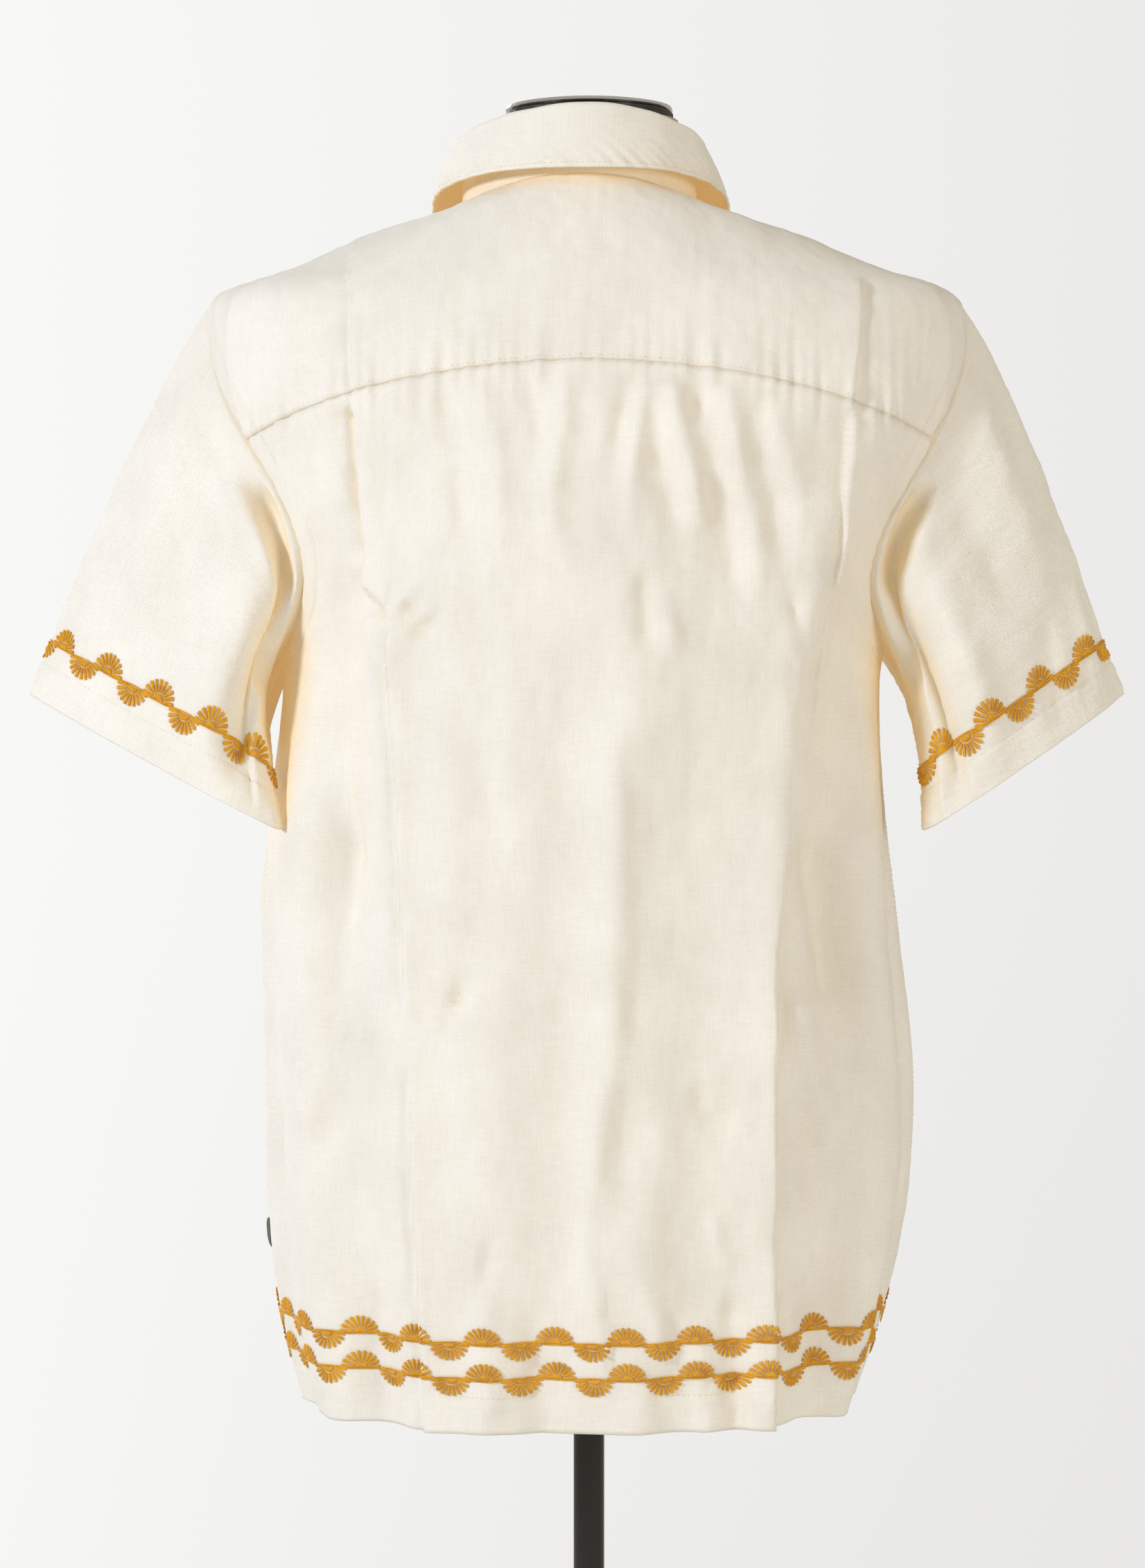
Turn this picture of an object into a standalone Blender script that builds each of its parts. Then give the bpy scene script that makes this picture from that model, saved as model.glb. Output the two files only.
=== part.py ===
"""A cream short-sleeve shirt on a limbless dress form with a pole and a round base.

Metres, +Z up, the floor at z = 0 and the pole on the Z axis. The garment's front faces -Y and its
left side is at +X. Every cloth piece is a closed wall whose outer face lies on one smooth trunk or
sleeve surface, moved in and out by a table of folds, so neighbouring pieces meet along shared seams.
"""

import math

import bmesh
import bpy
import numpy as np
from mathutils import Matrix, Vector

# Driving sizes of the garment
CLOTH = 0.0014
COLLAR_CLOTH = 0.0016
SEAM_GAP = 0.0004
LAP_GAP = 0.0012
HEM_Z = 0.771
NECK_BACK_Z = 1.511
SHOULDER_TIP_Z = 1.441
ARMPIT_Z = 1.226
YOKE_CENTRE_Z = 1.396
FRONT_OVERLAP = 0.017
LAP_START_DEG = 152
LAP_SPAN_DEG = 14
NECK_HALF_WIDTH = 0.072
STAND_HEIGHT = 0.034
BUTTON_RADIUS = 0.0056
BUTTON_THICKNESS = 0.0024

# Driving sizes of the dress form
NECK_TOP_Z = 1.5490
NECK_RADIUS = 0.0545
TORSO_BOTTOM_Z = 0.840
POLE_RADIUS = 0.0095
BASE_RADIUS = 0.190
BASE_THICKNESS = 0.012
HUB_RADIUS = 0.024
HUB_HEIGHT = 0.045
REST_GAP = 0.0004
SHOULDER_REST_GAP = 0.0017

# Ring sections of the trunk from the hem up to the neck seam. side_x, back_y and front_y are the
# reach at the side, centre back and centre front, *_z the heights there, square is the
# superellipse exponent of the outline, 2 for an ellipse, and lean_x makes the left side wider.
RING_COLUMNS = (
    "side_x", "side_y", "back_y", "front_y", "side_z", "back_z", "front_z", "square", "lean_x"
)
RINGS = {
    "hem": (0.1705, 0.002, 0.146, -0.141, HEM_Z, HEM_Z, HEM_Z, 2.50, 0.0065),
    "above_hem": (0.1860, 0.002, 0.147, -0.141, 0.825, 0.825, 0.825, 2.40, 0.0045),
    "hip": (0.1985, 0.002, 0.145, -0.139, 0.925, 0.925, 0.925, 2.30, -0.0005),
    "waist": (0.1960, 0.002, 0.141, -0.136, 1.045, 1.045, 1.045, 2.25, 0.0045),
    "ribs": (0.1870, 0.002, 0.136, -0.134, 1.145, 1.145, 1.145, 2.25, 0.0065),
    "armpit": (0.1830, 0.002, 0.130, -0.131, ARMPIT_Z, ARMPIT_Z, ARMPIT_Z, 2.25, 0.0030),
    "blade": (0.2000, 0.002, 0.125, -0.127, 1.298, 1.298, 1.293, 2.30, 0.0),
    "yoke": (0.2280, 0.002, 0.116, -0.117, 1.371, 1.368, 1.348, 2.30, 0.0),
    "corner": (0.2335, 0.001, 0.104, -0.108, 1.421, 1.411, 1.381, 2.20, 0.0015),
    "tip": (0.2270, 0.001, 0.098, -0.103, SHOULDER_TIP_Z, 1.430, 1.400, 2.10, 0.0020),
    "slope": (0.1890, 0.000, 0.089, -0.096, 1.4560, 1.453, 1.414, 2.05, 0.0015),
    "shoulder": (0.1480, -0.002, 0.078, -0.087, 1.4730, 1.477, 1.430, 2.00, 0.0020),
    "neck": (NECK_HALF_WIDTH, -0.006, 0.058, -0.070, 1.497, NECK_BACK_Z, 1.455, 2.00, 0.0060),
}

# Long folds that hang in the trunk. A fold's line passes these four angles, in degrees round from
# centre back and positive towards the left side, at the four heights of FOLD_HEIGHTS. It shows
# between top_z and bottom_z, fading over its lead; depth is outwards, so a valley is negative.
FOLD_HEIGHTS = (1.370, 1.260, 1.050, 0.771)
FOLD_COLUMNS = ("yoke", "chest", "waist", "hem", "top_z", "bottom_z", "width", "depth", "lead")
TRUNK_FOLDS = {
    "left_crease": (36, 38, 31, 28, 1.370, 0.60, 0.016, 0.0045, 0.09),
    "left_back_valley": (48, 50, 44, 40, 1.330, 0.60, 0.021, -0.0055, 0.10),
    "left_back_roll": (64, 64, 59, 53, 1.250, 0.60, 0.022, 0.0050, 0.14),
    "left_side_valley": (82, 80, 76, 70, 1.150, 0.60, 0.020, -0.0045, 0.15),
    "centre_left_roll": (20, 21, 17, 14, 1.340, 0.60, 0.028, 0.0035, 0.12),
    "centre_valley": (2, 2, 3, 2, 1.300, 0.60, 0.018, -0.0030, 0.14),
    "centre_ridge": (-7, -6, -7, -5, 1.260, 0.60, 0.015, 0.0050, 0.14),
    "right_hollow": (-19, -20, -17, -16, 1.360, 0.60, 0.026, -0.0050, 0.08),
    "right_crease": (-41, -43, -32, -33, 1.370, 0.60, 0.018, 0.0060, 0.09),
    "right_back_valley": (-55, -57, -46, -47, 1.350, 0.60, 0.022, -0.0060, 0.12),
    "right_drag_high": (-30, -32, -49, -76, 1.180, 0.92, 0.020, -0.0040, 0.08),
    "right_drag_low": (8, 3, -18, -56, 0.990, 0.80, 0.020, -0.0040, 0.07),
    "right_back_roll": (-70, -72, -60, -60, 1.250, 0.60, 0.021, 0.0060, 0.14),
    "right_side_valley": (-84, -86, -76, -75, 1.180, 0.60, 0.018, -0.0060, 0.14),
    "front_left_valley": (112, 112, 114, 116, 1.250, 0.60, 0.026, -0.0055, 0.14),
    "front_left_roll": (128, 128, 131, 133, 1.330, 0.60, 0.030, 0.0060, 0.10),
    "front_left_drape": (149, 150, 152, 153, 1.300, 0.60, 0.024, -0.0045, 0.14),
    "front_right_valley": (-110, -110, -113, -114, 1.250, 0.60, 0.026, -0.0055, 0.14),
    "front_right_roll": (-126, -126, -129, -131, 1.330, 0.60, 0.030, 0.0060, 0.10),
    "front_right_drape": (-148, -148, -150, -151, 1.300, 0.60, 0.024, -0.0045, 0.14),
}
FOLD_RADIUS = 0.165

# Where each sleeve's cuff lies: the two ends of the flattened opening, and half its depth.
CUFF_COLUMNS = ("outer", "inner", "half_depth")
CUFFS = {
    "left": ((0.3410, 0.012, 1.199), (0.1860, 0.074, 1.119), 0.026),
    "right": ((-0.3255, 0.012, 1.199), (-0.2020, 0.058, 1.118), 0.031),
}
# A sleeve leaves the armhole in these directions under the arm and over the shoulder tip, lifted
# off the trunk all round, and reaches the cuff in the next two. Pull is a share of the distance.
# Up to the lap top, a share of the armhole's height, the sleeve's edge lies over the body's, and
# the lap fades over its lead. Along the seam share the sleeve turns from the trunk's normal to its own.
SLEEVE_LEAVE_UNDER = (0.10, 0.0, -0.99)
SLEEVE_LEAVE_TIP = (0.60, 0.0, -0.80)
SLEEVE_ARRIVE_INNER = (0.0, 0.0, -1.0)
SLEEVE_ARRIVE_OUTER = (0.41, 0.0, -0.91)
SLEEVE_LIFT = 0.75
SLEEVE_PULL = 0.75
SLEEVE_LAP_TOP = 0.85
SLEEVE_LAP_LEAD = 0.20
SLEEVE_SEAM_SHARE = 0.15
# Folds of a sleeve: angle round from the underarm, towards the back, at the armhole and at the cuff.
# A fold rises over the first of the fade shares of its length and dies away over the second.
SLEEVE_FOLD_COLUMNS = ("top_deg", "cuff_deg", "start", "end", "width_deg", "depth")
SLEEVE_FOLD_FADES = (0.35, 0.45)
SLEEVE_FOLDS = {
    "back_pocket": (58, 34, 0.12, 1.00, 18, -0.009),
    "back_lip": (82, 54, 0.05, 1.10, 17, 0.005),
    "front_pocket": (312, 330, 0.12, 1.00, 20, -0.008),
    "front_lip": (282, 304, 0.05, 1.10, 20, 0.005),
}

# The armhole bows in from the side line by |sin q| (mean + lean cos q) degrees, q going from the
# armpit up the back to the shoulder tip and down the front.
ARMHOLE_BACK = (27, 14)
ARMHOLE_FRONT = (31, 15)
YOKE_END_Q = math.radians(101)
FRONT_SEAM_Q = math.radians(206)
FRONT_SEAM_NECK = math.radians(112)
YOKE_SEAM_POWER = 1.7
EDGE_EASE = 2.5
ANGLE_STEP = 0.01
LEVEL_STEP = 0.002

# How many steps each stretch of the pieces is divided into
SIDE_STEPS = 12
ARM_BACK_STEPS = 7
ARM_YOKE_STEPS = 6
ARM_YOKE_FRONT_STEPS = 2
ARM_FRONT_STEPS = 10
BACK_STEPS = 28
NECK_FRONT_STEPS = 6
SHOULDER_STEPS = 7
SLEEVE_STEPS = 10
COLLAR_STEPS = 38
FORM_COLUMNS = 36
FORM_ROWS = 16
ROUND_SIDES = 36
BUTTON_SIDES = 14
LABEL_STEPS = 5

# Half the shirt's collar leaf: angle round the neck from centre back, how far its edge lies below
# the neck seam on the trunk, and how far it stands off the trunk there.
LEAF_COLUMNS = ("angle_deg", "drop", "stand_off")
LEAF_EDGE = (
    (0, 0.009, 0.0110),
    (45, 0.010, 0.0095),
    (90, 0.014, 0.0055),
    (130, 0.032, 0.0042),
    (158, 0.056, 0.0034),
    (170, 0.060, 0.0034),
)
LEAF_ROLL_RADIUS = 0.0034
LEAF_FOOT = 0.0010
LEAF_BELLY = 0.0015
LEAF_FALL_STEPS = 3
LEAF_END_DEG = 170
STAND_LEAN = 0.03
STAND_LAP_RISE = 0.0024
STAND_FRONT_SHARE = 0.78
STAND_FALL_START_DEG = 60.0
STAND_FALL_SPAN_DEG = 120.0
PLACKET_STEPS = 24
PLACKET_STRIPS = 3
LABEL_Z = 0.8665
LABEL_HEIGHT = 0.018
LABEL_WIDTH = 0.010
LABEL_THICKNESS = 0.0012
LABEL_STAND_OFF = 0.0030
LABEL_ROUNDING = 0.92
BUTTON_HEIGHTS = (1.400, 1.306, 1.212, 1.118, 1.024, 0.930)
BUTTON_PROFILE = (
    (0.0, 0.0),
    (BUTTON_RADIUS * 0.85, 0.0),
    (BUTTON_RADIUS, BUTTON_THICKNESS * 0.5),
    (BUTTON_RADIUS * 0.88, BUTTON_THICKNESS),
    (BUTTON_RADIUS * 0.66, BUTTON_THICKNESS * 0.72),
    (0.0, BUTTON_THICKNESS * 0.72),
)

# How far the dress form is drawn in from the cloth at each ring, as shares of its reach, and how
# its neck rises from the neck seam to its round top: share of the outline, share of the height.
FORM_FIT_COLUMNS = ("fit_x", "fit_y")
FORM_FIT = {
    "hem": (0.76, 0.76),
    "above_hem": (0.76, 0.76),
    "hip": (0.77, 0.77),
    "waist": (0.74, 0.76),
    "ribs": (0.80, 0.80),
    "armpit": (0.88, 0.86),
    "blade": (0.86, 0.90),
    "yoke": (0.82, 0.94),
    "corner": (0.84, 0.97),
    "tip": (0.88, 0.98),
    "shoulder": (1.0, 1.0),
    "neck": (0.985, 0.985),
}
NECK_RISE = ((0.55, 0.25), (0.85, 0.55), (0.98, 0.85), (1.0, 1.0))

# The turned pieces of the form as radius and height above each piece's own foot
PLATE_THICKNESS = 0.005
PLATE_PROFILE = (
    (0.0, 0.0),
    (0.0505, 0.0),
    (0.0515, 0.001),
    (0.0515, 0.004),
    (0.0505, PLATE_THICKNESS),
    (0.0, PLATE_THICKNESS),
)
CAP_PROFILE = (
    (0.0, 0.0),
    (0.0500, 0.0),
    (0.0512, 0.0012),
    (0.0504, 0.0028),
    (0.0440, 0.0040),
    (0.0200, 0.0052),
    (0.0, 0.0055),
)
BASE_PROFILE = (
    (0.0, 0.0),
    (BASE_RADIUS - 0.003, 0.0),
    (BASE_RADIUS, 0.003),
    (BASE_RADIUS, BASE_THICKNESS - 0.005),
    (BASE_RADIUS - 0.005, BASE_THICKNESS),
    (0.0, BASE_THICKNESS),
)
HUB_PROFILE = (
    (POLE_RADIUS + REST_GAP, 0.0),
    (HUB_RADIUS, 0.0),
    (HUB_RADIUS, 0.010),
    (HUB_RADIUS - 0.008, 0.018),
    (HUB_RADIUS - 0.009, HUB_HEIGHT - 0.002),
    (HUB_RADIUS - 0.011, HUB_HEIGHT),
    (POLE_RADIUS + REST_GAP, HUB_HEIGHT),
)
BASE_SIDES = 56
HUB_SIDES = 24
POLE_SIDES = 32

# Colours as linear values, with roughness and metallic
CREAM = ((0.86, 0.78, 0.62), 0.85, 0.0)
BUTTON_CREAM = ((0.80, 0.72, 0.55), 0.35, 0.0)
LABEL_BLACK = ((0.02, 0.02, 0.02), 0.80, 0.0)
FORM_BEIGE = ((0.50, 0.40, 0.30), 0.90, 0.0)
PLATE_BLACK = ((0.02, 0.02, 0.02), 0.50, 0.0)
CHROME = ((0.80, 0.80, 0.82), 0.12, 1.0)
POLE_BLACK = ((0.03, 0.03, 0.03), 0.35, 0.0)


def clear_scene():
    for item in list(bpy.data.objects):
        bpy.data.objects.remove(item, do_unlink=True)


def make_material(name, look):
    colour, roughness, metallic = look
    material = bpy.data.materials.new(name)
    material.use_nodes = True
    shader = material.node_tree.nodes["Principled BSDF"]
    shader.inputs["Base Color"].default_value = (*colour, 1.0)
    shader.inputs["Roughness"].default_value = roughness
    shader.inputs["Metallic"].default_value = metallic
    return material


def add_object(name, points, faces, look):
    """One named closed mesh with its faces pointing outwards."""
    mesh = bpy.data.meshes.new(name)
    bm = bmesh.new()
    corners = [bm.verts.new(p) for p in points]
    for face in faces:
        bm.faces.new([corners[i] for i in face])
    bmesh.ops.recalc_face_normals(bm, faces=bm.faces)
    bm.to_mesh(mesh)
    bm.free()
    mesh.shade_smooth()
    mesh.set_sharp_from_angle(angle=math.radians(40))
    item = bpy.data.objects.new(name, mesh)
    item.data.materials.append(make_material(name, look))
    bpy.context.scene.collection.objects.link(item)
    return item


def smooth_step(value):
    value = np.clip(value, 0.0, 1.0)
    return value * value * (3.0 - 2.0 * value)


def spline(knots, values, at):
    """Natural cubic spline through values at the knots, read at the given places."""
    knots = np.asarray(knots, float)
    values = np.asarray(values, float)
    count = len(knots)
    step = np.diff(knots)
    rise = np.diff(values) / step
    system = np.eye(count)
    right = np.zeros(count)
    for i in range(1, count - 1):
        system[i, i - 1 : i + 2] = step[i - 1], 2.0 * (step[i - 1] + step[i]), step[i]
        right[i] = 6.0 * (rise[i] - rise[i - 1])
    bend = np.linalg.solve(system, right)
    at = np.clip(at, knots[0], knots[-1])
    i = np.clip(np.searchsorted(knots, at) - 1, 0, count - 2)
    a = (knots[i + 1] - at) / step[i]
    b = 1.0 - a
    curve = ((a**3 - a) * bend[i] + (b**3 - b) * bend[i + 1]) * step[i] ** 2 / 6.0
    return a * values[i] + b * values[i + 1] + curve


def ring_levels():
    """The level of each ring: the distance climbed from the hem, at the side and back on average."""
    rows = np.array(list(RINGS.values()))
    side = np.stack([rows[:, 0], rows[:, 4]], axis=1)
    back = np.stack([rows[:, 2], rows[:, 5]], axis=1)
    climb = [np.linalg.norm(np.diff(path, axis=0), axis=1) for path in (side, back)]
    return np.concatenate([[0.0], np.cumsum(0.5 * (climb[0] + climb[1]))])


LEVELS = ring_levels()
RING_VALUES = np.array(list(RINGS.values()))
LEVEL_OF = dict(zip(RINGS, LEVELS))


def ring_at(level):
    return {
        column: spline(LEVELS, RING_VALUES[:, i], level) for i, column in enumerate(RING_COLUMNS)
    }


def level_at_height(height, column="back_z"):
    """The level whose centre back, or other column, lies at this height."""
    levels = np.linspace(LEVELS[0], LEVELS[-1], 400)
    heights = ring_at(levels)[column]
    inside = np.interp(height, heights, levels)
    return inside + np.minimum(np.asarray(height) - heights[0], 0.0)


def bare_trunk(angle, level):
    """The trunk without folds: a superellipse ring whose reach and height follow the ring table."""
    angle, level = np.broadcast_arrays(np.asarray(angle, float), np.asarray(level, float))
    ring = ring_at(level)
    power = 2.0 / ring["square"]
    sine, cosine = np.sin(angle), np.cos(angle)
    deep = np.where(cosine > 0, ring["back_y"], ring["front_y"])
    high = np.where(cosine > 0, ring["back_z"], ring["front_z"])
    x = (ring["side_x"] * np.sign(sine) + ring["lean_x"]) * np.abs(sine) ** power
    y = ring["side_y"] + (deep - ring["side_y"]) * np.abs(cosine) ** power
    z = ring["side_z"] + (high - ring["side_z"]) * cosine**2
    return np.stack([x, y, z], axis=-1)


def unit(vectors):
    return vectors / np.maximum(np.linalg.norm(vectors, axis=-1, keepdims=True), 1e-12)


def trunk_normal(angle, level):
    """Outward normal of the bare trunk, from small steps round and up it."""
    low = np.maximum(level - LEVEL_STEP, LEVELS[0])
    high = np.minimum(level + LEVEL_STEP, LEVELS[-1])
    round_it = bare_trunk(angle + ANGLE_STEP, level) - bare_trunk(angle - ANGLE_STEP, level)
    up_it = bare_trunk(angle, high) - bare_trunk(angle, low)
    return unit(np.cross(up_it, round_it))


def trunk_fold_depth(angle, level):
    """How far the folds push the cloth outwards: bell-shaped rolls and valleys along slanting lines."""
    angle, level = np.broadcast_arrays(np.asarray(angle, float), np.asarray(level, float))
    depth = np.zeros(angle.shape)
    knots = level_at_height(np.array(FOLD_HEIGHTS[::-1]))
    for row in TRUNK_FOLDS.values():
        fold = dict(zip(FOLD_COLUMNS, row))
        top = level_at_height(fold["top_z"])
        bottom = level_at_height(fold["bottom_z"])
        middle = [fold[key] for key in ("hem", "waist", "chest", "yoke")]
        away = (angle - np.radians(np.interp(level, knots, middle))) * FOLD_RADIUS / fold["width"]
        below_top = smooth_step((top - level) / fold["lead"])
        above_bottom = smooth_step((level - bottom) / fold["lead"])
        depth += fold["depth"] * np.exp(-(away**2)) * below_top * above_bottom
    return depth


def trunk_point(angle, level, out=0.0):
    off = np.asarray(trunk_fold_depth(angle, level) + out)[..., None]
    return bare_trunk(angle, level) + trunk_normal(angle, level) * off


def armhole(q, side):
    """Angle and level of the armhole line at q, for side 1 (left) or -1 (right)."""
    q = np.asarray(q, float)
    level = LEVEL_OF["armpit"] + (LEVEL_OF["tip"] - LEVEL_OF["armpit"]) * (1.0 - np.cos(q)) / 2.0
    mean = np.where(q <= math.pi, ARMHOLE_BACK[0], ARMHOLE_FRONT[0])
    lean = np.where(q <= math.pi, ARMHOLE_BACK[1], ARMHOLE_FRONT[1])
    bow = np.radians(np.abs(np.sin(q)) * (mean + lean * np.cos(q)))
    angle = math.pi / 2 - np.where(q <= math.pi, bow, -bow)
    return side * angle, level


def armhole_stations():
    """The q of every point on the armhole line, shared by the sleeve, back, yoke and fronts."""
    stretches = (
        (0.0, YOKE_END_Q, ARM_BACK_STEPS),
        (YOKE_END_Q, math.pi, ARM_YOKE_STEPS),
        (math.pi, FRONT_SEAM_Q, ARM_YOKE_FRONT_STEPS),
        (FRONT_SEAM_Q, 2 * math.pi, ARM_FRONT_STEPS),
    )
    runs = [np.linspace(start, end, steps + 1)[:-1] for start, end, steps in stretches]
    return np.concatenate(runs + [[2 * math.pi]])


ARM_Q = armhole_stations()
YOKE_END = ARM_BACK_STEPS
TIP = YOKE_END + ARM_YOKE_STEPS
FRONT_SEAM = TIP + ARM_YOKE_FRONT_STEPS


def line(start, end, steps):
    """Points from start to end, in the angle and level plane of the trunk."""
    share = np.linspace(0.0, 1.0, steps + 1)[:, None]
    return np.asarray(start) * (1.0 - share) + np.asarray(end) * share


def armhole_line(first, last, side):
    return np.stack(armhole(ARM_Q[first : last + 1], side), axis=1)


def yoke_seam():
    """The back yoke seam, bowed up from its two ends to its height at centre back."""
    end_angle, end_level = armhole(YOKE_END_Q, 1)
    centre_level = level_at_height(YOKE_CENTRE_Z)
    angle = np.linspace(-end_angle, end_angle, BACK_STEPS + 1)
    across = np.abs(np.sin(angle) / np.sin(end_angle))
    level = end_level + (centre_level - end_level) * (1.0 - across**YOKE_SEAM_POWER)
    return np.stack([angle, level], axis=1)


def patch(bottom, top, left, right, ease=1.0):
    """Grid between four edges: rows from bottom to top, columns from left to right.

    Rows run straight between bottom and top. What the left and right edges differ from those
    straight rows by fades towards the other side, faster with a larger ease.
    """
    v = np.linspace(0.0, 1.0, len(left))[:, None, None]
    u = np.linspace(0.0, 1.0, len(bottom))[None, :, None]
    rows = bottom[None] * (1.0 - v) + top[None] * v
    from_left = (left[:, None] - rows[:, :1]) * (1.0 - u) ** ease
    from_right = (right[:, None] - rows[:, -1:]) * u**ease
    return rows + from_left + from_right


def drawn_in(grid, bottom=True, top=True, left=True, right=True):
    """The grid with its sewn edges moved in by half the seam gap."""
    grid = grid.copy()
    half = SEAM_GAP / 2.0
    if bottom:
        grid[0] += unit(grid[1] - grid[0]) * half
    if top:
        grid[-1] += unit(grid[-2] - grid[-1]) * half
    if left:
        grid[:, 0] += unit(grid[:, 1] - grid[:, 0]) * half
    if right:
        grid[:, -1] += unit(grid[:, -2] - grid[:, -1]) * half
    return grid


def wall(name, outer, inner, look, joined=False):
    """A closed wall between two grids of the same size. joined closes the columns into a tube."""
    rows, columns = outer.shape[:2]
    points = np.concatenate([outer.reshape(-1, 3), inner.reshape(-1, 3)])
    skin = rows * columns
    faces = []
    last = columns if joined else columns - 1
    for i in range(rows - 1):
        for j in range(last):
            k = (j + 1) % columns
            a, b = i * columns + j, i * columns + k
            c, d = b + columns, a + columns
            faces.append((a, d, c, b))
            faces.append((a + skin, b + skin, c + skin, d + skin))
    for i in (0, rows - 1):
        for j in range(last):
            a, b = i * columns + j, i * columns + (j + 1) % columns
            faces.append((a, b, b + skin, a + skin))
    if not joined:
        for j in (0, columns - 1):
            for i in range(rows - 1):
                a, b = i * columns + j, (i + 1) * columns + j
                faces.append((a, b, b + skin, a + skin))
    return add_object(name, points, faces, look)


def trunk_panel(name, plan, sewn, out=None):
    """A cloth wall over a grid of trunk angles and levels; out lifts it off the trunk where it laps."""
    angle, level = plan[..., 0], plan[..., 1]
    lift = np.zeros(angle.shape) if out is None else out
    outer = drawn_in(trunk_point(angle, level, lift), **sewn)
    return wall(name, outer, outer - trunk_normal(angle, level) * CLOTH, CREAM)


def build_back():
    hem = LEVEL_OF["hem"]
    edges = []
    for side in (-1, 1):
        seam = line((side * math.pi / 2, hem), (side * math.pi / 2, LEVEL_OF["armpit"]), SIDE_STEPS)
        edges.append(np.concatenate([seam[:-1], armhole_line(0, YOKE_END, side)]))
    bottom = line((-math.pi / 2, hem), (math.pi / 2, hem), BACK_STEPS)
    plan = patch(bottom, yoke_seam(), *edges, ease=EDGE_EASE)
    return trunk_panel("back", plan, {"bottom": False})


def build_yoke():
    """The yoke fans out from the neck to the armholes and back seam, and laps over each shoulder."""
    right = armhole_line(YOKE_END, FRONT_SEAM, -1)[::-1]
    left = armhole_line(YOKE_END, FRONT_SEAM, 1)
    outside = np.concatenate([right[:-1], yoke_seam(), left[1:]])
    neck = LEVEL_OF["neck"]
    inside = line((-FRONT_SEAM_NECK, neck), (FRONT_SEAM_NECK, neck), len(outside) - 1)
    ends = [line(outside[i], inside[i], SHOULDER_STEPS) for i in (0, -1)]
    return trunk_panel("yoke", patch(outside, inside, *ends), {})


def overlap_angle(level, side):
    """Trunk angle of a front's centre edge, which runs past centre front by the overlap."""
    ring = ring_at(level)
    return side * math.pi + side * np.arcsin((FRONT_OVERLAP / ring["side_x"]) ** (ring["square"] / 2.0))


def front_lap(angle):
    """How far the left front is lifted near centre front, where it laps over the right one."""
    past = (np.degrees(angle) - LAP_START_DEG) / LAP_SPAN_DEG
    return (CLOTH + LAP_GAP) * smooth_step(past)


def build_front(name, side):
    hem, neck = LEVEL_OF["hem"], LEVEL_OF["neck"]
    seam = line((side * math.pi / 2, hem), (side * math.pi / 2, LEVEL_OF["armpit"]), SIDE_STEPS)
    armhole_edge = armhole_line(FRONT_SEAM, len(ARM_Q) - 1, side)[::-1]
    outside = np.concatenate([seam[:-1], armhole_edge])
    rows = np.arange(len(outside))
    levels = np.interp(rows, [0, SIDE_STEPS, rows[-1]], [hem, LEVEL_OF["armpit"], neck])
    centre = np.stack([overlap_angle(levels, side), levels], axis=1)
    shoulder = line(armhole_edge[-1], (side * FRONT_SEAM_NECK, neck), SHOULDER_STEPS)
    neckline = line((side * FRONT_SEAM_NECK, neck), centre[-1], NECK_FRONT_STEPS)
    top = np.concatenate([shoulder[:-1], neckline])
    bottom = line((side * math.pi / 2, hem), centre[0], len(top) - 1)
    plan = patch(bottom, top, outside, centre, ease=EDGE_EASE)
    lift = front_lap(plan[..., 0]) if side > 0 else None
    return trunk_panel(name, plan, {"bottom": False, "right": False}, lift)


def cuff_frame(side_name):
    """Centre, half width and half depth vectors of a cuff."""
    cuff = dict(zip(CUFF_COLUMNS, CUFFS[side_name]))
    outer, inner = np.array(cuff["outer"]), np.array(cuff["inner"])
    wide = (outer - inner) / 2.0
    axis = unit(np.cross(wide, (0.0, 1.0, 0.0)))
    axis = axis if axis[2] < 0 else -axis
    deep = unit(np.cross(axis, wide))
    deep = deep if deep[1] > 0 else -deep
    return (outer + inner) / 2.0, wide, deep * cuff["half_depth"]


def bare_sleeve(side_name, q, along):
    """The sleeve without folds: a Hermite curve from each armhole point to its point on the cuff."""
    side = 1 if side_name == "left" else -1
    centre, wide, deep = cuff_frame(side_name)
    cosine, sine = np.cos(q)[..., None], np.sin(q)[..., None]
    over = (1.0 - cosine) / 2.0
    off_trunk = trunk_normal(*armhole(q, side))
    lap = (CLOTH + SEAM_GAP) * smooth_step((SLEEVE_LAP_TOP - over) / SLEEVE_LAP_LEAD)
    start = trunk_point(*armhole(q, side)) + off_trunk * lap
    end = centre - cosine * wide + sine * deep
    reach = np.linalg.norm(end - start, axis=-1, keepdims=True) * SLEEVE_PULL
    mirror = np.array([side, 1.0, 1.0])
    leave = np.array(SLEEVE_LEAVE_UNDER) * (1.0 - over) + np.array(SLEEVE_LEAVE_TIP) * over
    leave = unit(leave * mirror + off_trunk * (SLEEVE_LIFT * (1.0 - over)))
    arrive = np.array(SLEEVE_ARRIVE_INNER) * (1.0 - over) + np.array(SLEEVE_ARRIVE_OUTER) * over
    arrive = unit(arrive) * mirror
    s = along[..., None]
    return (
        start * (2 * s**3 - 3 * s**2 + 1)
        + leave * reach * (s**3 - 2 * s**2 + s)
        + end * (3 * s**2 - 2 * s**3)
        + arrive * reach * (s**3 - s**2)
    )


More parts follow.
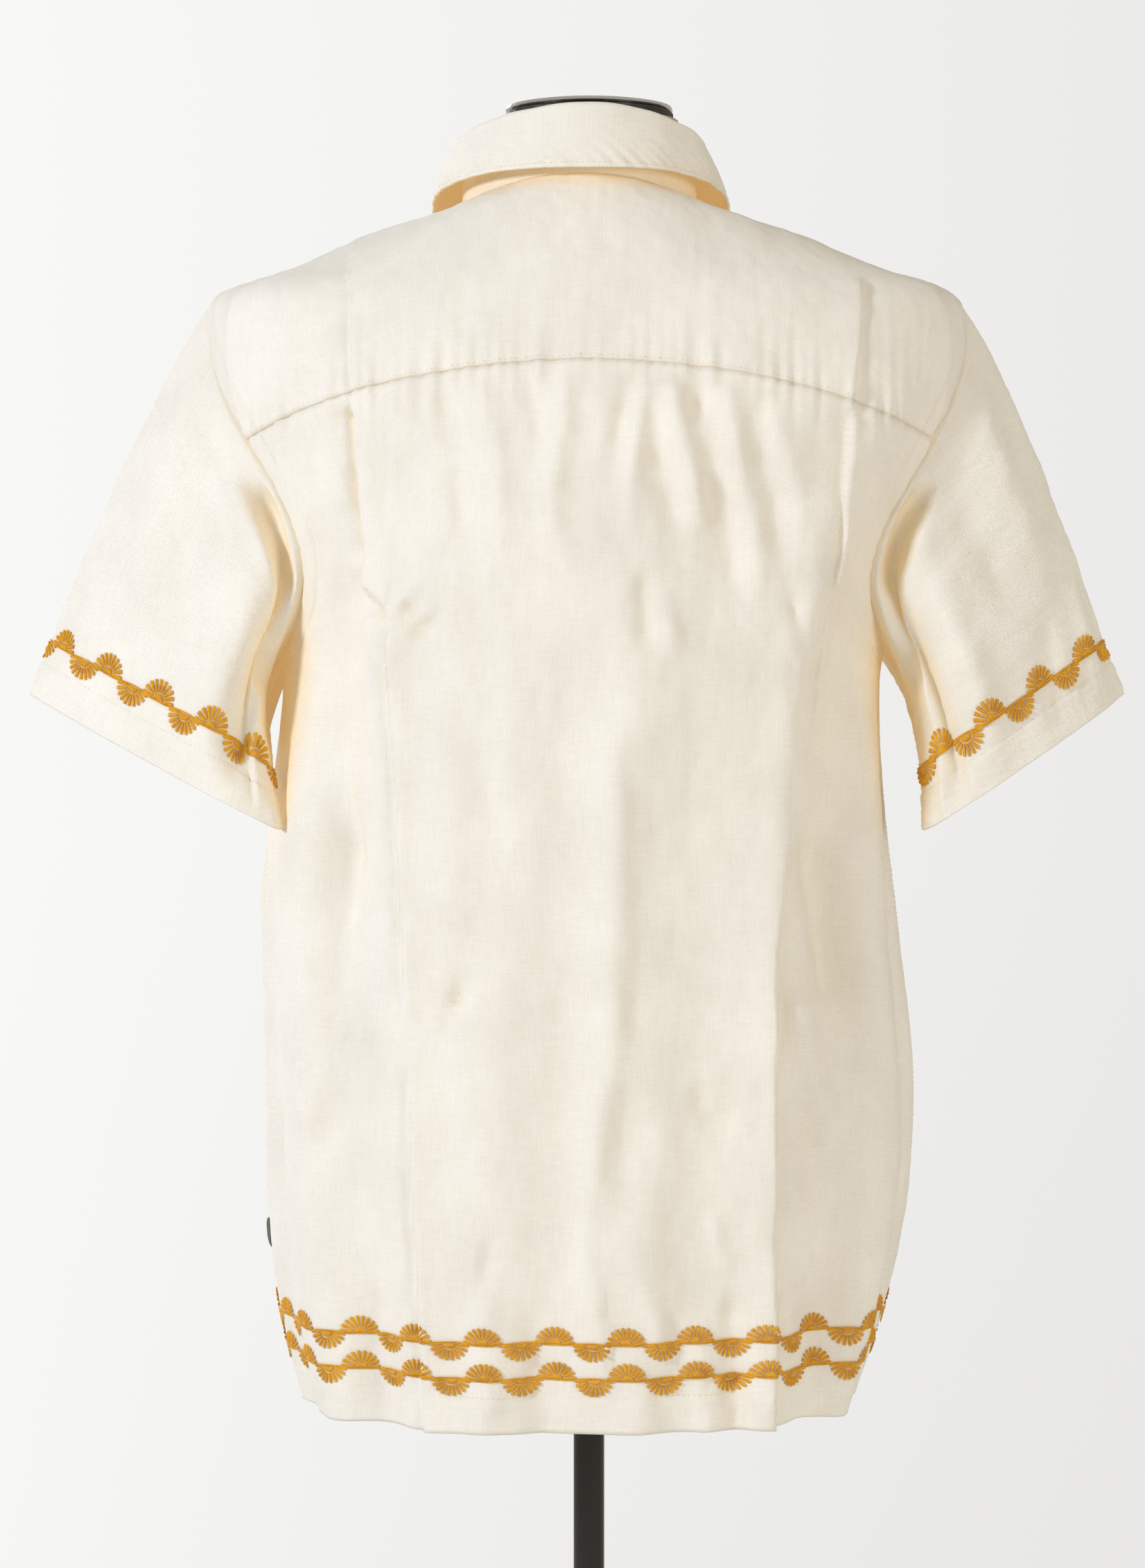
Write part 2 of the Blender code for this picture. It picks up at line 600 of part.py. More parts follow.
def sleeve_fold_depth(q, along):
    depth = np.zeros(np.broadcast(q, along).shape)
    for row in SLEEVE_FOLDS.values():
        fold = dict(zip(SLEEVE_FOLD_COLUMNS, row))
        line_q = np.radians(fold["top_deg"] + (fold["cuff_deg"] - fold["top_deg"]) * along)
        away = (q - line_q) / math.radians(fold["width_deg"])
        share = (along - fold["start"]) / (fold["end"] - fold["start"])
        rise = smooth_step(share / SLEEVE_FOLD_FADES[0])
        fall = smooth_step((1.0 - share) / SLEEVE_FOLD_FADES[1])
        depth += fold["depth"] * np.exp(-(away**2)) * rise * fall
    return depth


def build_sleeve(name, side_name):
    side = 1 if side_name == "left" else -1
    along, q = np.meshgrid(np.linspace(0.0, 1.0, SLEEVE_STEPS + 1), ARM_Q[:-1], indexing="ij")
    tube = bare_sleeve(side_name, q, along)
    before = bare_sleeve(side_name, q - ANGLE_STEP, along)
    after = bare_sleeve(side_name, q + ANGLE_STEP, along)
    above = bare_sleeve(side_name, q, np.maximum(along - ANGLE_STEP, 0.0))
    below = bare_sleeve(side_name, q, np.minimum(along + ANGLE_STEP, 1.0))
    normal = unit(np.cross(after - before, below - above)) * side
    at_seam = trunk_normal(*armhole(ARM_Q[:-1], side))
    share = smooth_step(along / SLEEVE_SEAM_SHARE)[..., None]
    normal = unit(at_seam[None] * (1.0 - share) + normal * share)
    outer = tube + normal * sleeve_fold_depth(q, along)[..., None]
    outer[0] += unit(outer[1] - outer[0]) * SEAM_GAP
    return wall(name, outer, outer - normal * CLOTH, CREAM, joined=True)


def build_placket():
    """The buttoned strip along the edge of the left front, from hem to neck seam."""
    levels = np.linspace(LEVEL_OF["hem"], LEVEL_OF["neck"], PLACKET_STEPS + 1)
    edge = overlap_angle(levels, 1)[:, None]
    share = np.linspace(0.0, 1.0, PLACKET_STRIPS + 1)
    angle = (2 * math.pi - edge) * (1.0 - share) + edge * share
    plan = np.stack([angle, np.broadcast_to(levels[:, None], angle.shape)], axis=-1)
    lift = front_lap(angle) + CLOTH + LAP_GAP / 2.0
    open_edges = dict.fromkeys(("bottom", "top", "left", "right"), False)
    return trunk_panel("placket", plan, open_edges, lift)


def neck_edge(angle):
    """The neck seam and the way the collar stand leans there."""
    level = np.full(np.shape(angle), LEVEL_OF["neck"])
    seam = bare_trunk(angle, level)
    inward = -seam * np.array([1.0, 1.0, 0.0])
    lean = unit(np.array([0.0, 0.0, 1.0]) + unit(inward) * STAND_LEAN)
    return seam, lean


def outwards_across(lean, angle):
    """Level direction square to the lean, pointing away from the neck."""
    around = unit(np.stack([np.cos(angle), -np.sin(angle), np.zeros_like(angle)], axis=-1))
    across = unit(np.cross(lean, around))
    outward = np.stack([np.sin(angle), np.cos(angle), np.zeros_like(angle)], axis=-1)
    return across * np.sign((across * outward).sum(axis=-1, keepdims=True))


def stand_line(angle, height, out=0.0):
    """A point of the stand's outer face, at a height up the stand and a distance off its face."""
    seam, lean = neck_edge(angle)
    fall = smooth_step((np.abs(np.degrees(angle)) - STAND_FALL_START_DEG) / STAND_FALL_SPAN_DEG)
    tall = 1.0 - (1.0 - STAND_FRONT_SHARE) * fall
    across = outwards_across(lean, angle)
    base = COLLAR_CLOTH / 2.0 + SEAM_GAP + STAND_LAP_RISE * lap_share(angle)
    return seam + lean * (base + height * tall)[..., None] + across * np.asarray(out)[..., None]


def build_collar_stand():
    end = overlap_angle(np.array([LEVEL_OF["neck"]]), 1)[0]
    angle, height = np.meshgrid(
        np.linspace(-end, end, COLLAR_STEPS + 1), np.linspace(0.0, STAND_HEIGHT, 4), indexing="xy"
    )
    lift = stand_lap(angle)
    outer = stand_line(angle, height, lift)
    inner = stand_line(angle, height, lift - COLLAR_CLOTH)
    return wall("collar_stand", outer, inner, CREAM)


def stand_lap(angle):
    """The stand's left end is lifted, where it buttons over its right end."""
    return (COLLAR_CLOTH + LAP_GAP) * lap_share(angle)


def lap_share(angle):
    """Nought round the neck, rising to one at the stand's left end, which laps over the right one."""
    return smooth_step((np.degrees(angle) - LAP_START_DEG) / LAP_SPAN_DEG)


def build_collar_leaf():
    """The leaf is sewn on top of the stand, rolls over and falls to its edge on the yoke and fronts."""
    end = math.radians(LEAF_END_DEG)
    angle = np.linspace(-end, end, COLLAR_STEPS + 1)
    table = dict(zip(LEAF_COLUMNS, np.array(LEAF_EDGE, float).T))
    at = np.abs(np.degrees(angle))
    drop = spline(table["angle_deg"], table["drop"], at)
    stand_off = spline(table["angle_deg"], table["stand_off"], at)
    edge = trunk_point(angle, LEVEL_OF["neck"] - drop, stand_off + front_lap(angle))
    lean = neck_edge(angle)[1]
    across = outwards_across(lean, angle)
    foot = stand_line(angle, np.full(angle.shape, STAND_HEIGHT), stand_lap(angle) - COLLAR_CLOTH / 2.0)
    foot = foot + lean * (SEAM_GAP + COLLAR_CLOTH / 2.0)
    centre = foot + across * LEAF_ROLL_RADIUS + lean * LEAF_FOOT
    rows = [foot, foot + lean * LEAF_FOOT]
    for turn in np.radians((135, 90, 45)):
        rows.append(centre + (across * np.cos(turn) + lean * np.sin(turn)) * LEAF_ROLL_RADIUS)
    shoulder = centre + across * LEAF_ROLL_RADIUS
    for share in np.linspace(0.0, 1.0, LEAF_FALL_STEPS + 1):
        belly = across * (LEAF_BELLY * math.sin(math.pi * share))
        rows.append(shoulder * (1.0 - share) + edge * share + belly)
    middle = np.stack(rows)
    normal = grid_normal(middle, outwards=across)
    half = COLLAR_CLOTH / 2.0
    return wall("collar_leaf", middle + normal * half, middle - normal * half, CREAM)


def grid_normal(grid, outwards):
    """Normals of a grid of points, all turned the way of the first row's outward direction."""
    down = np.gradient(grid, axis=0)
    along = np.gradient(grid, axis=1)
    normal = unit(np.cross(along, down))
    turn = np.sign((normal[-1] * outwards).sum(axis=-1))
    return normal * turn[None, :, None]


def turned(name, profile, look, sides, foot=0.0, closed=False):
    """A piece turned about a vertical axis; the profile lists radius and height from the foot up."""
    turn = np.linspace(0.0, 2 * math.pi, sides, endpoint=False)
    points = []
    rings = []
    for radius, height in profile:
        first = len(points)
        if radius == 0.0:
            points.append((0.0, 0.0, foot + height))
        else:
            points += [(radius * math.cos(a), radius * math.sin(a), foot + height) for a in turn]
        rings.append(list(range(first, len(points))))
    faces = []
    pairs = list(zip(rings, rings[1:])) + ([(rings[-1], rings[0])] if closed else [])
    for low, high in pairs:
        for j in range(sides):
            k = (j + 1) % sides
            if len(low) == 1:
                faces.append((low[0], high[k], high[j]))
            elif len(high) == 1:
                faces.append((low[j], low[k], high[0]))
            else:
                faces.append((low[j], low[k], high[k], high[j]))
    return add_object(name, points, faces, look)


def build_button(name, centre, outward):
    """A flat round button with a rounded rim and a sunk middle, seated just off the cloth under it."""
    outward = unit(np.asarray(outward))
    item = turned(name, BUTTON_PROFILE, BUTTON_CREAM, BUTTON_SIDES)
    turn = Vector((0.0, 0.0, 1.0)).rotation_difference(Vector(outward))
    item.data.transform(Matrix.Translation(Vector(centre)) @ turn.to_matrix().to_4x4())
    return item


def build_buttons():
    centre_front = math.pi
    for number, height in enumerate(BUTTON_HEIGHTS, start=1):
        level = level_at_height(height, "front_z")
        lift = front_lap(np.array(centre_front)) + CLOTH + LAP_GAP / 2.0 + SEAM_GAP
        point = trunk_point(centre_front, level, lift)
        build_button(f"button_{number}", point, trunk_normal(np.array(centre_front), np.array(level)))
    angle = np.array([math.pi])
    height = np.array([STAND_HEIGHT / 2.0])
    point = stand_line(angle, height, stand_lap(angle) + SEAM_GAP)[0]
    build_button("button_stand", point, outwards_across(neck_edge(angle)[1], angle)[0])


def build_side_label():
    """A bare black tab folded into the left side seam, standing a little off the front panel."""
    level = level_at_height(LABEL_Z, "side_z")
    across = np.linspace(0.0, 1.0, LABEL_STEPS + 1)
    half_height = LABEL_HEIGHT / 2.0 * np.sqrt(1.0 - (LABEL_ROUNDING * across) ** 2)
    angle = math.pi / 2 + across * LABEL_WIDTH / RINGS["hip"][0]
    levels = level + half_height * np.linspace(-1.0, 1.0, LABEL_STEPS)[:, None]
    angle = np.broadcast_to(angle, levels.shape)
    lift = LABEL_THICKNESS + SEAM_GAP + LABEL_STAND_OFF * np.broadcast_to(across, levels.shape)
    outer = trunk_point(angle, levels, lift)
    inner = outer - trunk_normal(angle, levels) * LABEL_THICKNESS
    return wall("side_label", outer, inner, LABEL_BLACK)


def form_rings():
    """Rings of the dress form: the trunk drawn in up to the neck seam, then the neck to its top."""
    turn = np.linspace(0.0, 2 * math.pi, FORM_COLUMNS, endpoint=False)
    bottom = level_at_height(TORSO_BOTTOM_Z)
    levels = np.linspace(bottom, LEVEL_OF["neck"], FORM_ROWS)
    fits = dict(zip(FORM_FIT_COLUMNS, np.array(list(FORM_FIT.values())).T))
    at = [LEVEL_OF[name] for name in FORM_FIT]
    rings = []
    inset = CLOTH + SHOULDER_REST_GAP
    for level in levels:
        ring = bare_trunk(turn, level) - trunk_normal(turn, np.full(turn.shape, level)) * inset
        fit_x = spline(at, fits["fit_x"], level)
        fit_y = spline(at, fits["fit_y"], level)
        rings.append(ring * np.stack([fit_x, fit_y, 1.0]))
    last = rings[-1]
    height = np.full(turn.shape, NECK_TOP_Z)
    top = np.stack([NECK_RADIUS * np.sin(turn), NECK_RADIUS * np.cos(turn), height], axis=1)
    for share, height_share in NECK_RISE:
        blend = last * (1.0 - share) + top * share
        blend[:, 2] = last[:, 2] * (1.0 - height_share) + NECK_TOP_Z * height_share
        rings.append(blend)
    return rings


def build_form():
    rings = form_rings()
    count = FORM_COLUMNS
    points = np.concatenate(rings)
    faces = []
    for i in range(len(rings) - 1):
        for j in range(count):
            k = (j + 1) % count
            faces.append((i * count + j, i * count + k, (i + 1) * count + k, (i + 1) * count + j))
    faces.append(tuple(range(count)))
    faces.append(tuple((len(rings) - 1) * count + j for j in range(count)))
    return add_object("form_torso", points, faces, FORM_BEIGE)


def build_stand():
    """Everything of the form that is turned: the neck plate, chrome cap, pole, hub and base."""
    plate_foot = NECK_TOP_Z + REST_GAP
    turned("neck_plate", PLATE_PROFILE, PLATE_BLACK, ROUND_SIDES, plate_foot)
    cap_foot = plate_foot + PLATE_THICKNESS + REST_GAP
    turned("neck_cap", CAP_PROFILE, CHROME, ROUND_SIDES, cap_foot)
    turned("base_plate", BASE_PROFILE, POLE_BLACK, BASE_SIDES)
    foot = BASE_THICKNESS + REST_GAP
    turned("hub", HUB_PROFILE, POLE_BLACK, HUB_SIDES, foot, closed=True)
    height = TORSO_BOTTOM_Z - REST_GAP - foot
    pole_profile = ((0.0, 0.0), (POLE_RADIUS, 0.0), (POLE_RADIUS, height), (0.0, height))
    turned("pole", pole_profile, POLE_BLACK, POLE_SIDES, foot)


def main():
    clear_scene()
    build_back()
    build_yoke()
    build_front("front_left", 1)
    build_front("front_right", -1)
    build_sleeve("sleeve_left", "left")
    build_sleeve("sleeve_right", "right")
    build_placket()
    build_collar_stand()
    build_collar_leaf()
    build_buttons()
    build_side_label()
    build_form()
    build_stand()


main()
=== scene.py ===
import math

import bpy
import numpy as np
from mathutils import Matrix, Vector


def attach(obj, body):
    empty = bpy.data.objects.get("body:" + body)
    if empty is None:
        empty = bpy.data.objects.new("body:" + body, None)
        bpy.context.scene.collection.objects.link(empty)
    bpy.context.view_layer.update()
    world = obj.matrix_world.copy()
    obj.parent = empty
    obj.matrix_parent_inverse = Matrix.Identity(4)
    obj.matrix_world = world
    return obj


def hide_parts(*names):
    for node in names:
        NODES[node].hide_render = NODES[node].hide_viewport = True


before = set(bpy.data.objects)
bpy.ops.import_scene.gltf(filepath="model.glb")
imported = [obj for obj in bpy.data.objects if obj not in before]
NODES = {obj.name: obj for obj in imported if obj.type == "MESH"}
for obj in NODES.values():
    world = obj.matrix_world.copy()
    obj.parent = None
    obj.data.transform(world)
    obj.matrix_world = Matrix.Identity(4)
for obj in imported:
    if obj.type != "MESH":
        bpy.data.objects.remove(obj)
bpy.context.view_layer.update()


# Materials: Principled shaders whose colour and relief come from procedural nodes.
def linear(colour):
    """An sRGB hex colour as linear RGBA: the sRGB curve undone, channel by channel."""
    channels = np.array([int(colour[i : i + 2], 16) for i in (1, 3, 5)]) / 255.0
    curve = ((channels + 0.055) / 1.055) ** 2.4
    return (*np.where(channels <= 0.04045, channels / 12.92, curve).tolist(), 1.0)


def add_node(tree, kind, sockets=None, **settings):
    """A node with its settings; each socket gets either a value or a link from another socket."""
    node = tree.nodes.new("ShaderNode" + kind)
    for name, value in settings.items():
        setattr(node, name, value)
    for socket, source in (sockets or {}).items():
        if isinstance(source, bpy.types.NodeSocket):
            tree.links.new(source, node.inputs[socket])
        else:
            node.inputs[socket].default_value = source
    return node


def new_material(name, **sockets):
    """A Principled material, its constants set on the shader's own sockets by their names."""
    material = bpy.data.materials.new(name)
    material.use_nodes = True
    shader = material.node_tree.nodes["Principled BSDF"]
    for socket, value in sockets.items():
        shader.inputs[socket.replace("_", " ")].default_value = value
    return material, material.node_tree, shader


def on_object(tree):
    return add_node(tree, "TexCoord").outputs["Object"]


def noise(tree, place, scale, detail=2.0, **others):
    sockets = {"Vector": place, "Scale": scale, "Detail": detail, **others}
    return add_node(tree, "TexNoise", sockets).outputs["Fac"]


def ramp(tree, share, dark, light, low=0.0, high=1.0):
    """The colour between two tones as the share goes from low to high."""
    shade = add_node(tree, "ValToRGB", {"Fac": share})
    for element, position, tone in zip(shade.color_ramp.elements, (low, high), (dark, light)):
        element.position = position
        element.color = linear(tone)
    return shade.outputs["Color"]


def dress_shader(tree, shader, colour, height, strength, distance):
    """Gives the shader its colour, where there is one, and bends its normal by a height."""
    if colour is not None:
        tree.links.new(colour, shader.inputs["Base Color"])
    bump = add_node(tree, "Bump", {"Height": height, "Strength": strength, "Distance": distance})
    tree.links.new(bump.outputs["Normal"], shader.inputs["Normal"])


def clouded(tree, shader, dark, light, scale, relief):
    """Cloudy noise in the colour between two tones, and as a faint relief, on object coordinates."""
    cloud = noise(tree, on_object(tree), scale, 4.0, Distortion=0.8)
    dress_shader(tree, shader, ramp(tree, cloud, dark, light, 0.35, 0.65), cloud, 0.3, relief)


def wear(cad_name, material):
    """Gives a carried-over CAD node its finish."""
    NODES[cad_name].data.materials.clear()
    NODES[cad_name].data.materials.append(material)


# Pole, hub and base: steel tube and plate under a glossy black stoving enamel with a faint orange
# peel. They keep their CAD meshes.
enamel, tree, shader = new_material("stoved_black_enamel", Roughness=0.22, IOR=1.5)
place = on_object(tree)
tone = ramp(tree, noise(tree, place, 14.0, 3.0), "#141313", "#232120")
dress_shader(tree, shader, tone, noise(tree, place, 900.0), 0.06, 0.0004)
for cad_name in ("pole", "hub", "base_plate"):
    wear(cad_name, enamel)


# Dress form: papier-mache trunk and neck under a stretched cotton jersey cover in beige.
# It is a padded form only in name: hard, smooth and whole.
RING_COLUMNS = (
    "side_x", "side_y", "back_y", "front_y", "side_z", "back_z", "front_z", "square", "lean_x"
)
RINGS = {
    "hem": (0.1705, 0.002, 0.146, -0.141, 0.771, 0.771, 0.771, 2.50, 0.0065),
    "above_hem": (0.1860, 0.002, 0.147, -0.141, 0.825, 0.825, 0.825, 2.40, 0.0045),
    "hip": (0.1985, 0.002, 0.145, -0.139, 0.925, 0.925, 0.925, 2.30, -0.0005),
    "waist": (0.1960, 0.002, 0.141, -0.136, 1.045, 1.045, 1.045, 2.25, 0.0045),
    "ribs": (0.1870, 0.002, 0.136, -0.134, 1.145, 1.145, 1.145, 2.25, 0.0065),
    "armpit": (0.1830, 0.002, 0.130, -0.131, 1.226, 1.226, 1.226, 2.25, 0.0030),
    "blade": (0.2000, 0.002, 0.125, -0.127, 1.298, 1.298, 1.293, 2.30, 0.0),
    "yoke": (0.2280, 0.002, 0.116, -0.117, 1.371, 1.368, 1.348, 2.30, 0.0),
    "corner": (0.2335, 0.001, 0.104, -0.108, 1.421, 1.411, 1.381, 2.20, 0.0015),
    "tip": (0.2270, 0.001, 0.098, -0.103, 1.441, 1.430, 1.400, 2.10, 0.0020),
    "slope": (0.1890, 0.000, 0.089, -0.096, 1.4560, 1.453, 1.414, 2.05, 0.0015),
    "shoulder": (0.1480, -0.002, 0.078, -0.087, 1.4730, 1.477, 1.430, 2.00, 0.0020),
    "neck": (0.0720, -0.006, 0.058, -0.070, 1.497, 1.511, 1.455, 2.00, 0.0060),
}
RING_VALUES = np.array(list(RINGS.values()))


def smooth_step(value):
    """Rises from 0 to 1 as 3v^2 - 2v^3."""
    value = np.clip(value, 0.0, 1.0)
    return value * value * (3.0 - 2.0 * value)


def spline(knots, values, at):
    """Natural cubic spline through values at the knots: its bends solve the usual band system."""
    knots = np.asarray(knots, float)
    values = np.asarray(values, float)
    count = len(knots)
    step = np.diff(knots)
    rise = np.diff(values) / step
    system = np.eye(count)
    right = np.zeros(count)
    for i in range(1, count - 1):
        system[i, i - 1 : i + 2] = step[i - 1], 2.0 * (step[i - 1] + step[i]), step[i]
        right[i] = 6.0 * (rise[i] - rise[i - 1])
    bend = np.linalg.solve(system, right)
    at = np.clip(at, knots[0], knots[-1])
    i = np.clip(np.searchsorted(knots, at) - 1, 0, count - 2)
    a = (knots[i + 1] - at) / step[i]
    b = 1.0 - a
    curve = ((a**3 - a) * bend[i] + (b**3 - b) * bend[i + 1]) * step[i] ** 2 / 6.0
    return a * values[i] + b * values[i + 1] + curve


def distances(path):
    """The length of a path of points passed at each of them."""
    return np.concatenate([[0.0], np.cumsum(np.linalg.norm(np.diff(path, axis=0), axis=1))])


def lengths_along(grid, axis):
    """The length passed at each point of a grid, going down its rows (0) or along them (1)."""
    chords = np.linalg.norm(np.diff(grid, axis=axis), axis=2)
    start = np.zeros_like(np.take(chords, [0], axis=axis))
    return np.concatenate([start, np.cumsum(chords, axis=axis)], axis=axis)


def ring_levels():
    """Level of each ring: the distance climbed from the hem, averaged over the side and the back."""
    side, back = RING_VALUES[:, [0, 4]], RING_VALUES[:, [2, 5]]
    climb = sum(np.linalg.norm(np.diff(path, axis=0), axis=1) for path in (side, back)) / 2.0
    return np.concatenate([[0.0], np.cumsum(climb)])


LEVELS = ring_levels()
LEVEL_OF = dict(zip(RINGS, LEVELS))


def ring_at(level):
    return {name: spline(LEVELS, RING_VALUES[:, i], level) for i, name in enumerate(RING_COLUMNS)}


def level_at_height(height, column="back_z"):
    """The level whose centre back, or other column, lies at this height."""
    levels = np.linspace(LEVELS[0], LEVELS[-1], 400)
    heights = ring_at(levels)[column]
    return np.interp(height, heights, levels) + np.minimum(np.asarray(height) - heights[0], 0.0)


def bare_trunk(angle, level):
    """A superellipse ring at each level: x goes as |sin a|^(2/n), y as |cos a|^(2/n), z as cos^2 a."""
    angle, level = np.broadcast_arrays(np.asarray(angle, float), np.asarray(level, float))
    ring = ring_at(level)
    power = 2.0 / ring["square"]
    sine, cosine = np.sin(angle), np.cos(angle)
    deep = np.where(cosine > 0, ring["back_y"], ring["front_y"])
    high = np.where(cosine > 0, ring["back_z"], ring["front_z"])
    x = (ring["side_x"] * np.sign(sine) + ring["lean_x"]) * np.abs(sine) ** power
    y = ring["side_y"] + (deep - ring["side_y"]) * np.abs(cosine) ** power
    z = ring["side_z"] + (high - ring["side_z"]) * cosine**2
    return np.stack([x, y, z], axis=-1)


def unit(vectors):
    return vectors / np.maximum(np.linalg.norm(vectors, axis=-1, keepdims=True), 1e-12)


def trunk_normal(angle, level):
    """Outward normal of the bare trunk: the cross product of small steps up it and round it."""
    low = np.maximum(level - 0.002, LEVELS[0])
    high = np.minimum(level + 0.002, LEVELS[-1])
    round_it = bare_trunk(angle + 0.01, level) - bare_trunk(angle - 0.01, level)
    up_it = bare_trunk(angle, high) - bare_trunk(angle, low)
    return unit(np.cross(up_it, round_it))


def mesh_piece(name, points, faces, material, uv=None, smooth=True):
    """A mesh from point and face arrays, with an optional UV pair for each face corner."""
    mesh = bpy.data.meshes.new(name)
    faces = np.asarray(faces)
    mesh.vertices.add(len(points))
    mesh.vertices.foreach_set("co", np.asarray(points, np.float32).ravel())
    mesh.loops.add(faces.size)
    mesh.loops.foreach_set("vertex_index", faces.astype(np.int32).ravel())
    mesh.polygons.add(len(faces))
    mesh.polygons.foreach_set("loop_start", np.arange(0, faces.size, faces.shape[1], dtype=np.int32))
    mesh.polygons.foreach_set("use_smooth", np.full(len(faces), smooth))
    if uv is not None:
        layer = mesh.uv_layers.new(name="cloth")
        layer.data.foreach_set("uv", np.asarray(uv, np.float32)[faces.ravel()].ravel())
    mesh.update(calc_edges=True)
    mesh.validate()
    mesh.materials.append(material)
    item = bpy.data.objects.new(name, mesh)
    bpy.context.scene.collection.objects.link(item)
    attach(item, "root")
    return item


def grid_faces(rows, columns, closed=False, start=0):
    """Quads between the points of a grid; closed joins the last column to the first."""
    i, j = np.meshgrid(np.arange(rows - 1), np.arange(columns if closed else columns - 1), indexing="ij")
    k = (j + 1) % columns
    low, high = i * columns, (i + 1) * columns
    quads = np.stack([low + j, low + k, high + k, high + j], axis=-1)
    return quads.reshape(-1, 4) + start


FORM_FIT = {
    "hem": (0.76, 0.76),
    "above_hem": (0.76, 0.76),
    "hip": (0.77, 0.77),
    "waist": (0.74, 0.76),
    "ribs": (0.80, 0.80),
    "armpit": (0.88, 0.86),
    "blade": (0.86, 0.90),
    "yoke": (0.82, 0.94),
    "corner": (0.84, 0.97),
    "tip": (0.88, 0.98),
    "shoulder": (1.0, 1.0),
    "neck": (0.985, 0.985),
}
NECK_RISE = ((0.55, 0.25), (0.85, 0.55), (0.98, 0.85), (1.0, 1.0))
NECK_TOP_Z = 1.5490
NECK_RADIUS = 0.0545
TORSO_BOTTOM_Z = 0.840
CLOTH = 0.0014
FORM_INSET = 0.0031


def form_rings(turn, rows, neck_rows):
    """Rings of the form: the trunk drawn in by its fit table, then the neck eased to a round top."""
    levels = np.linspace(level_at_height(TORSO_BOTTOM_Z), LEVEL_OF["neck"], rows)[:, None]
    turns = np.broadcast_to(turn[None, :], (rows, len(turn)))
    at = [LEVEL_OF[name] for name in FORM_FIT]
    fit = np.array(list(FORM_FIT.values()))
    body = bare_trunk(turns, levels) - trunk_normal(turns, levels) * FORM_INSET
    body[..., 0] *= spline(at, fit[:, 0], levels)
    body[..., 1] *= spline(at, fit[:, 1], levels)
    rise = np.array([(0.0, 0.0), *NECK_RISE])
    step = np.linspace(0.0, len(rise) - 1, neck_rows + 1)[1:, None]
    share = np.interp(step, np.arange(len(rise)), rise[:, 0])
    climb = np.interp(step, np.arange(len(rise)), rise[:, 1])
    x = body[-1, :, 0] * (1.0 - share) + NECK_RADIUS * np.sin(turn) * share
    y = body[-1, :, 1] * (1.0 - share) + NECK_RADIUS * np.cos(turn) * share
    z = body[-1, :, 2] * (1.0 - climb) + NECK_TOP_Z * climb
    return np.concatenate([body, np.stack([x, y, z], axis=-1)])


jersey, tree, shader = new_material("beige_cotton_jersey", Roughness=0.9, Sheen_Weight=0.25)
place = on_object(tree)
sockets = {"Vector": place, "Scale": 260.0, "Distortion": 2.0, "Detail": 1.0}
knit = add_node(tree, "TexWave", sockets, bands_direction="Z").outputs["Fac"]
mottle = noise(tree, place, 45.0, 6.0, Roughness=0.7)
dress_shader(tree, shader, ramp(tree, mottle, "#A8937A", "#CDB99E", 0.3, 0.75), knit, 0.35, 0.0006)


def triangles(quads):
    """Each quad as two triangles."""
    return np.concatenate([quads[:, [0, 1, 2]], quads[:, [0, 2, 3]]])


FORM_TURNS, FORM_ROWS, FORM_NECK_ROWS = 144, 96, 24
turn = np.linspace(0.0, 2 * math.pi, FORM_TURNS, endpoint=False)
rings = form_rings(turn, FORM_ROWS, FORM_NECK_ROWS)
lids = np.stack([rings[0].mean(axis=0), rings[-1].mean(axis=0)])
points = np.concatenate([rings.reshape(-1, 3), lids])
count = len(points) - 2
k = np.arange(FORM_TURNS)
bottom_lid = np.stack([np.full(FORM_TURNS, count), (k + 1) % FORM_TURNS, k], axis=1)
top_ring = count - FORM_TURNS + k
top_lid = np.stack([np.full(FORM_TURNS, count + 1), top_ring, np.roll(top_ring, -1)], axis=1)
trunk_faces = triangles(grid_faces(len(rings), FORM_TURNS, closed=True))
faces = np.concatenate([trunk_faces, bottom_lid, top_lid])
form = mesh_piece("form_cover", points, faces[:, ::-1], jersey)
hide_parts("form_torso")


# Neck plate and cap: a matt black moulded disc under a polished chromed steel lid, both turned
# shapes that keep their CAD meshes.
plastic, tree, shader = new_material(
    "moulded_black_plastic", Base_Color=linear("#1B1A1A"), Roughness=0.5
)
dress_shader(tree, shader, None, noise(tree, on_object(tree), 1800.0), 0.1, 0.0003)
wear("neck_plate", plastic)

chrome, tree, shader = new_material("polished_chrome", Base_Color=linear("#DCDCDE"), Metallic=1.0)
smudge = noise(tree, on_object(tree), 60.0, 4.0)
haze = add_node(tree, "MapRange", {"Value": smudge, "To Min": 0.07, "To Max": 0.20})
tree.links.new(haze.outputs["Result"], shader.inputs["Roughness"])
wear("neck_cap", chrome)


